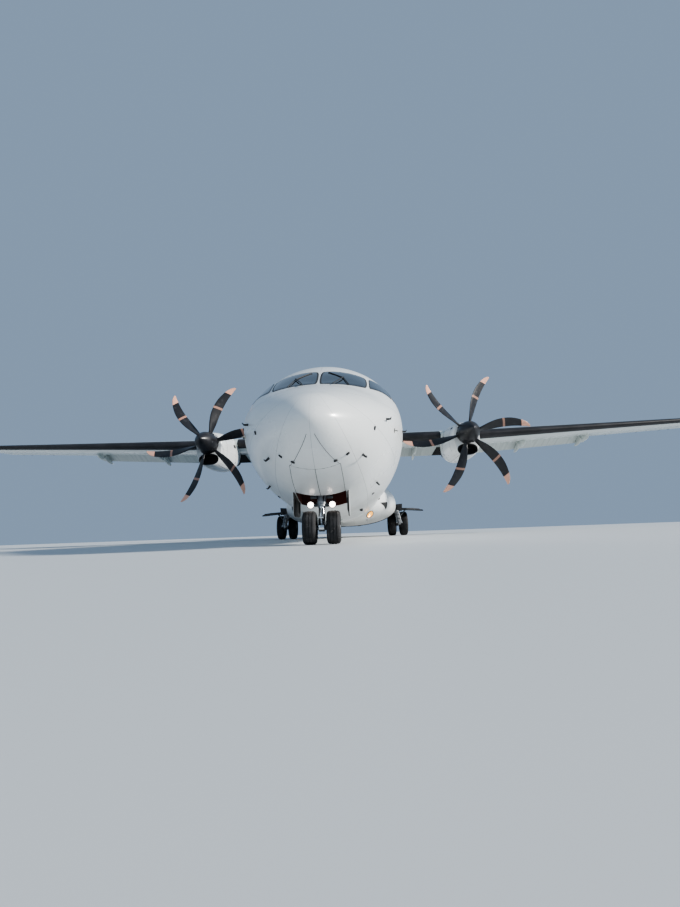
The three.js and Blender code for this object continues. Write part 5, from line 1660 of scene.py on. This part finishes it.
def add_wheel(tyre, rim, wheel, centre, side, grooves, holes):
    """One tyre and its rim; side is which way the rim's open face looks."""
    tyre.lathe(tyre_profile(wheel, grooves), centre, "tyre_rubber", segments=96, turn=0.5, closed=True)
    out, size, bore = side * wheel["width"] / 2 * 0.62, wheel["rim"], wheel["bore"]
    # Radii as shares of the rim's or the bore's, and places as shares of its half width
    dish = (
        (0.93, -1), (1, -0.97), (1, 0.96), (0.985, 1), (0.93, 1), (0.90, 0.94), (0.86, 0.62), (0.76, 0.44),
        (0.66, 0.40), (0.48, 0.46), (0.42, 0.62),
    )
    profile = [(bore, -out), *((size * share, out * part) for share, part in dish)]
    profile += [(max(bore * 1.25, size * 0.37), out * 0.93), (bore * 1.12, out * 0.96), (bore, out * 0.96)]
    rim.lathe(profile, centre, "rim_alloy", segments=96, turn=0.5, closed=True)
    # Dark discs where the rim has holes: painted shade of the holes
    face = centre + X * (out * 0.42 - side * 0.006)
    rim.pins(face, size * 0.71, holes, size * 0.065, side * 0.009, "gap", 16)
    rim.pins(centre + X * out * 0.44, size * 0.55, holes, size * 0.028, side * 0.012, "gear_dark", 6, 0.5)


def add_pair(prefix, suffix, wheel, centre, grooves, holes):
    body = f"{prefix}_wheels{suffix}"
    for word, side in (("port", 1), ("starboard", -1)):
        tyre, rim = Shape(), Shape()
        add_wheel(tyre, rim, wheel, centre + X * wheel["offset"] * side, side, grooves, holes)
        tyre.dressed(f"{prefix}_tyre_{word}{suffix}", "grooved", "tyre_rubber", body=body)
        rim.dressed(f"{prefix}_rim_{word}{suffix}", "dished", "wheel_alloy", body=body)


class AIRLINER_OT_wheels(bpy.types.Operator):
    """Adds the tyres and rims of the main and nose wheels"""

    bl_idname = "airliner.wheels"
    bl_label = "Wheels"

    def execute(self, context):
        for word, side in SIDES:
            centre = Vector((AXLE.x * side, AXLE.y, AXLE.z))
            add_pair("main", f"_{word}", MAIN_WHEEL, centre, (-0.075, -0.027, 0.027, 0.075), 10)
        add_pair("nose", "", NOSE_WHEEL, NOSE_AXLE, (-0.045, 0.0, 0.045), 8)
        return {"FINISHED"}


def door_outline(front, back):
    """Door leaf with its top edge on the skin and its lower corners rounded."""
    outline = [
        (front, 0.52), (front + 0.03, 0.43), (front + 0.11, 0.395), (back - 0.16, 0.395),
        (back - 0.05, 0.42), (back, 0.49),
    ]
    for y in even(back, front, 8):
        station = y + LENGTH / 2
        angle = -math.degrees(math.acos(0.385 / HULL.row(station)[3]))
        outline.append((y, HULL.point(station, angle).z + 0.012))
    return outline


class AIRLINER_OT_nose_gear(bpy.types.Operator):
    """Adds the nose leg, its brace, steering, fork and doors"""

    bl_idname = "airliner.nose_gear"
    bl_label = "Nose gear"

    def execute(self, context):
        rake = (NOSE_TOP - NOSE_AXLE).normalized()

        def near_leg(height, x=0.0, y=0.0):
            return NOSE_AXLE + rake * ((height - NOSE_AXLE.z) / rake.z) + Vector((x, y, 0))

        shape = Shape()
        shape.bar(near_leg(0.52), near_leg(1.2296), 0.064, "gear_paint", 28, (0.06, 0.3, 0.72), 0.008, 0.02)
        for flip in (1, -1):
            spot = near_leg(0.66, 0.07 * flip, -0.01)
            shape.tube([spot, spot + Vector((0.085 * flip, 0.02, 0.0))], 0.024, "gear_dark", 14)
        # Hoses: points as (height, x, y), then the radius
        for rows, radius in (
            (((1.1, 0.05, -0.07), (0.9, 0.06, -0.085), (0.6, 0.03, -0.085)), 0.008),
            (((1.15, -0.05, -0.07), (0.9, -0.04, -0.09), (0.62, -0.05, -0.08)), 0.007),
        ):
            shape.tube(curve([near_leg(*row) for row in rows], 5), radius, "hose", 8)
        shape.dressed("nose_leg", "tube", "gear_alloy")

        shape = Shape()
        low, high = put(0, 1.745, 0.845), put(0, 2.16, 1.2296)
        shape.bar(low, high, 0.028, "gear_paint", 18, (0.45, 0.6), 0.01, 0.02)
        shape.dressed("nose_brace", "bar", "gear_alloy")

        shape = Shape()
        shape.tube([NOSE_AXLE, near_leg(0.5176)], 0.046, "piston_chrome", 28)
        ends = [NOSE_AXLE + X * 0.262 * part for part in (-1, -0.96, 0.96, 1)]
        shape.tube(ends, [0.028, 0.036, 0.036, 0.028], "gear_dark", 22)
        low, high = NOSE_AXLE + Vector((-0.042, -0.12, -0.034)), NOSE_AXLE + Vector((0.042, 0.0, 0.034))
        shape.block(low, high, "gear_paint", 0.008)
        eye = [(0.03, -0.042), (0.056, -0.042), (0.056, 0.042), (0.03, 0.042)]
        shape.lathe(eye, NOSE_AXLE, "gear_paint", segments=24, closed=True)
        # Torque links ahead of the piston
        foot, elbow = NOSE_AXLE + Vector((0, -0.055, 0.05)), NOSE_AXLE + Vector((0, -0.13, 0.135))
        for a, b in ((foot, elbow), (elbow, near_leg(0.50) + Vector((0, -0.04, -0.004)))):
            for flip in (1, -1):
                shape.tube([a + X * 0.026 * flip, b + X * 0.016 * flip], 0.011, "gear_dark", 10)
        shape.tube([elbow - X * 0.034, elbow + X * 0.034], 0.013, "piston_chrome", 12)
        shape.dressed("nose_fork", "assembly", "gear_alloy", body="nose_fork")

        for word, side in SIDES:
            shape = Shape()
            node = f"nose_door_{word}"
            low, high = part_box(node)
            outline = door_outline(low[1], high[1])
            shape.prism(outline, "x", 0.372, 0.388, "bay_primer", 0.002)
            shape.prism(outline, "x", 0.3882, 0.394, "belly_paint", 0.002)
            for y in (low[1] + 0.12, high[1] - 0.14):
                shape.block((0.358, y - 0.012, 0.46), (0.373, y + 0.012, 0.64), "gear_dark", 0.003)
            shape.dressed(node, "leaf", "white_skin", side)
        return {"FINISHED"}


def add_landing_lamp(word, side):
    """Oval lamp flush in the belly fairing: a dark rim, a glowing reflector and two bulbs."""
    shape = Shape()
    x, station, half_width, half_length = 0.930, 9.200, 0.110, 0.270
    outline = []
    for c, s in turns(48):
        spot = station + half_length * c
        outline.append((spot, BELLY.angle_below(spot, x + half_width * s)))
    shape.patch(BELLY, outline, "seal", 0.008, 0.03, 0.84, 0.97)
    inner = scaled(outline, 0.82, (station, BELLY.angle_below(station, x)))
    shape.patch(BELLY, inner, "landing_lamp", 0.005, 0.03, edge=0.9)
    for part, size in ((-0.25, 0.022), (0.45, 0.055)):
        place = station + half_length * part
        spot, out = BELLY.stud(place, BELLY.angle_below(place, x), 0.002)
        shape.tube([spot, spot + out * 0.007], [size, size * 0.8], "lamp_bulb", 24)
    shape.dressed(f"landing_lamp_{word}", "glass", "lamp_glass", side)


def add_taxi_lamp(word, side):
    shape = Shape()
    x, z, radius, front, back = 0.152, 0.545, 0.052, 1.545, 1.615
    # Shares of the radius with stations: the housing, then the glass
    housing = (
        (0, back), (0.55, back), (0.92, back - 0.02), (1, front + 0.012), (1, front), (0.88, front),
        (0.85, front + 0.01),
    )
    glass = ((0.86, front + 0.012), (0.6, front + 0.004), (0.3, front + 0.001), (0, front))
    for rows, finish in ((housing, "gear_dark"), (glass, "taxi_lamp")):
        shape.lathe([(radius * share, st(s)) for share, s in rows], (x, 0.0, z), finish, "y", 36)
    shape.tube([put(0.06, back - 0.02, z), put(x, back - 0.02, z)], 0.02, "gear_dark", 16)
    shape.dressed(f"taxi_lamp_{word}", "housing", "lamp_glass", side)


def add_beacon():
    shape = Shape()
    radius, drop, spot = 0.070, 0.062, put(0.0, 8.430, AXIS_HEIGHT - RADIUS)
    arc = [math.pi / 2 * k / 10 for k in range(11)]
    dome = [(radius, 0.01)] + [(radius * math.cos(a), -drop * math.sin(a)) for a in arc]
    shape.lathe(dome, spot, "beacon_glass", "z", 32)
    base = [(radius * 0.9, 0.01), (0.118, 0.01), (0.118, -0.008), (0.10, -0.02), (radius * 0.9, -0.022)]
    shape.lathe(base, spot, "beacon_glass", "z", 32, closed=True)
    shape.done("beacon_dome", stands_for=("beacon_lamp",), slot="beacon_glass")


def add_end_lamps():
    """Lamps of the wing tips and of the tail's bullet."""
    foil = wing_at(HALF_SPAN - 0.10)
    middle = Vector((HALF_SPAN - 0.10, st(foil.lead + 0.05), foil.base + 0.005))
    rings = []
    for angle in (math.pi * part / 6 for part in range(7)):
        reach = math.sin(angle) * 0.034 + 0.001
        centre = middle - Vector((0, 0.045 * math.cos(angle) + 0.01, 0))
        rings.append(oval(centre, reach * 1.6, reach, 20))
    for (word, side), finish in zip(SIDES, ("nav_red", "nav_green")):
        shape = Shape()
        shape.loft(rings, finish)
        shape.done(f"nav_lamp_{word}", slot="white_skin", side=side)
    rings = []
    for angle in (math.pi / 2 * part / 6 for part in range(7)):
        reach = 0.045 * math.cos(angle) + 0.001
        rings.append(oval(put(0, 27.09 + 0.05 * math.sin(angle), 7.43), reach, reach, 20))
    shape = Shape()
    shape.loft(rings, "tail_lamp")
    shape.done("tail_lamp_dome", slot="white_composite")


def add_antennas():
    shape = Shape()
    # Blade antennas: station, angle, height, chord
    for station, angle, rise, chord in (
        (6.32, 270, 0.20, 0.32), (4.4, 90, 0.2, 0.26), (7.4, 90, 0.17, 0.2), (16.9, 90, 0.2, 0.26),
    ):
        base, way, finish = HULL.point(station, angle, -0.01), -1, "gear_dark"
        if angle == 90:
            way, finish = 1, "antenna_white"
        rings = []
        for part, width in ((0.0, 1.0), (0.5, 0.86), (0.9, 0.68), (1.0, 0.55)):
            front, height = base.y + 0.42 * rise * part, base.z + way * (rise + 0.01) * part
            half, reach = 0.013 * width, chord * width / 2
            rings.append([(half * s, front + reach * (1 - c), height) for c, s in turns(16)])
        shape.loft(rings, finish)
    shape.done("blade_antennas", slot="white_composite")


def add_probes():
    shape = Shape()
    aft = Vector((0, 1, 0))
    for turn in TO_PORT_AND_STARBOARD:
        for station, angle in ((0.77, -40), (1.12, 1), (2.05, -48), (2.62, -3)):
            base, out = HULL.stud(station, turn(angle), 0.004)
            elbow = base + out * 0.06
            shape.tube([base, elbow, elbow - aft * 0.1], [0.018, 0.012, 0.006], "seal", 10)
        for station, angle in ((0.53, -66), (0.53, -50), (0.76, -9), (2.69, -54), (18.3, -34), (19.5, -34)):
            base, out = HULL.stud(station, turn(angle), 0.006)
            shape.tube([base, base + out * 0.018], 0.026, "gap", 16)
        vane, out = HULL.stud(1.55, turn(-8), 0.004)
        shape.tube([vane, vane + out * 0.008], 0.035, "probe_metal", 18)
        path = [vane, vane + out * 0.05, vane + out * 0.055 + aft * 0.05]
        shape.tube(path, [0.008, 0.006, 0.004], "probe_metal", 8)
    # Low domes along the keel: station, angle, radius, drop, finish
    for station, angle, radius, drop, finish in (
        (3.3, 270.5, 0.035, 0.03, "seal"), (4.17, 294.5, 0.035, 0.05, "seal"),
        (4.14, 248, 0.025, 0.03, "probe_metal"), (4.7, 221, 0.03, 0.03, "gap"),
        (4.47, 272, 0.05, 0.025, "gap"), (5.16, 272, 0.045, 0.025, "gap"), (5.58, 268, 0.115, 0.02, "gap"),
        (6.05, 272, 0.125, 0.05, "beacon_glass"), (6.78, 320, 0.03, 0.02, "gap"),
        (18.9, 261.5, 0.035, 0.04, "seal"), (18.98, 288.5, 0.035, 0.04, "seal"),
        (19.35, 274, 0.075, 0.05, "seal"),
    ):
        base, out = HULL.stud(station, angle, 0.012)
        arc = [math.pi / 2 * k / 5 for k in range(6)]
        path = [base] + [base + out * (0.012 + drop * math.sin(a)) for a in arc]
        shape.tube(path, [radius] + [max(radius * math.cos(a), 0.002) for a in arc], finish, 24)
    shape.done("probes_and_drains", slot="gear_alloy")


class AIRLINER_OT_fittings(bpy.types.Operator):
    """Adds the lamps, probes, drains and antennas"""

    bl_idname = "airliner.fittings"
    bl_label = "Lamps and antennas"

    def execute(self, context):
        add_beacon()
        for word, side in SIDES:
            add_landing_lamp(word, side)
            add_taxi_lamp(word, side)
        add_end_lamps()
        add_antennas()
        add_probes()
        return {"FINISHED"}


class AIRLINER_OT_engines(bpy.types.Operator):
    """Gives the engine blocks their finish; they keep the frame's own shape"""

    bl_idname = "airliner.engines"
    bl_label = "Engine blocks"

    def execute(self, context):
        for word, _ in SIDES:
            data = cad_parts[f"engine_{word}"].data
            data.materials.clear()
            data.materials.append(FINISHES["engine_casing"])
        return {"FINISHED"}


class AIRLINER_OT_stage(bpy.types.Operator):
    """Adds the pale floor, the soft light and the camera"""

    bl_idname = "airliner.stage"
    bl_label = "Stage"

    def execute(self, context):
        scene, link = context.scene, context.scene.collection.objects.link
        mesh, reach = bpy.data.meshes.new("floor"), 400.0
        corners = [(-reach, -reach, 0), (reach, -reach, 0), (reach, reach, 0), (-reach, reach, 0)]
        mesh.from_pydata(corners, [], [(0, 1, 2, 3)])
        finish = Finish("floor_pale", (0.60, 0.62, 0.64), 0.6)
        cloud = finish.noise(0.08, detail=3.0)
        finish.sets(Base_Color=finish.mix(cloud, (0.56, 0.585, 0.60), (0.64, 0.66, 0.665)))
        mesh.materials.append(finish.material)
        slab = bpy.data.objects.new("floor", mesh)
        link(slab)

        world = bpy.data.worlds.new("soft sky")
        world.use_nodes = True
        sky = world.node_tree.nodes["Background"]
        sky.inputs["Color"].default_value = (0.50, 0.68, 0.93, 1.0)
        sky.inputs["Strength"].default_value = 0.46
        scene.world = world
        # Name, direction toward the light, strength, angle in degrees, colour
        for name, toward, strength, angle, colour in (
            ("key_light", (0.90, -0.20, 0.42), 5.2, 6, (1.0, 0.965, 0.91)),
            ("fill_light", (-0.6, -0.7, 0.35), 0.2, 40, (0.80, 0.90, 1.0)),
        ):
            data = bpy.data.lights.new(name, "SUN")
            data.energy, data.angle, data.color = strength, math.radians(angle), colour
            sun = bpy.data.objects.new(name, data)
            sun.rotation_euler = Vector(toward).to_track_quat("Z", "Y").to_euler()
            link(sun)

        sizes = scene.airliner_sizes
        data = bpy.data.cameras.new("camera")
        data.lens, data.sensor_width = sizes.camera_lens, 36.0
        camera = bpy.data.objects.new("camera", data)
        link(camera)
        camera.location = put(sizes.camera_side, -sizes.camera_distance, sizes.camera_height)
        pitch, yaw, roll = sizes.camera_turn
        turn = Matrix.Rotation(yaw, 3, "Z") @ Matrix.Rotation(math.radians(90) + pitch, 3, "X")
        camera.rotation_euler = (turn @ Matrix.Rotation(roll, 3, "Z")).to_euler()
        scene.camera = camera
        scene.view_settings.view_transform = "AgX"
        scene.view_settings.look = "AgX - Medium High Contrast"
        return {"FINISHED"}


class AIRLINER_PT_panel(bpy.types.Panel):
    """Lists the sizes, the colours and the steps in their order"""

    bl_idname = "AIRLINER_PT_panel"
    bl_label = "Turboprop Airliner"
    bl_space_type = "VIEW_3D"
    bl_region_type = "UI"
    bl_category = "Airliner"

    def draw(self, context):
        for settings in (context.scene.airliner_sizes, context.scene.airliner_colours):
            box = self.layout.box()
            for name in settings.__annotations__:
                box.prop(settings, name)
        column = self.layout.column(align=True)
        for step in STEPS:
            column.operator(step.bl_idname)


STEPS = (
    AIRLINER_OT_finishes,
    AIRLINER_OT_fuselage,
    AIRLINER_OT_glass,
    AIRLINER_OT_doors,
    AIRLINER_OT_fairings,
    AIRLINER_OT_wings,
    AIRLINER_OT_control_surfaces,
    AIRLINER_OT_nacelles,
    AIRLINER_OT_propellers,
    AIRLINER_OT_tail,
    AIRLINER_OT_main_gear,
    AIRLINER_OT_wheels,
    AIRLINER_OT_nose_gear,
    AIRLINER_OT_fittings,
    AIRLINER_OT_engines,
    AIRLINER_OT_stage,
)


def register():
    for cls in (AirlinerSizes, AirlinerColours, *STEPS, AIRLINER_PT_panel):
        bpy.utils.register_class(cls)
    bpy.types.Scene.airliner_sizes = PointerProperty(type=AirlinerSizes)
    bpy.types.Scene.airliner_colours = PointerProperty(type=AirlinerColours)


def unregister():
    del bpy.types.Scene.airliner_colours
    del bpy.types.Scene.airliner_sizes
    for cls in (AIRLINER_PT_panel, *STEPS[::-1], AirlinerColours, AirlinerSizes):
        bpy.utils.unregister_class(cls)


def main():
    register()
    for step in STEPS:
        group, name = step.bl_idname.split(".")
        getattr(getattr(bpy.ops, group), name)()


if __name__ == "__main__":
    main()
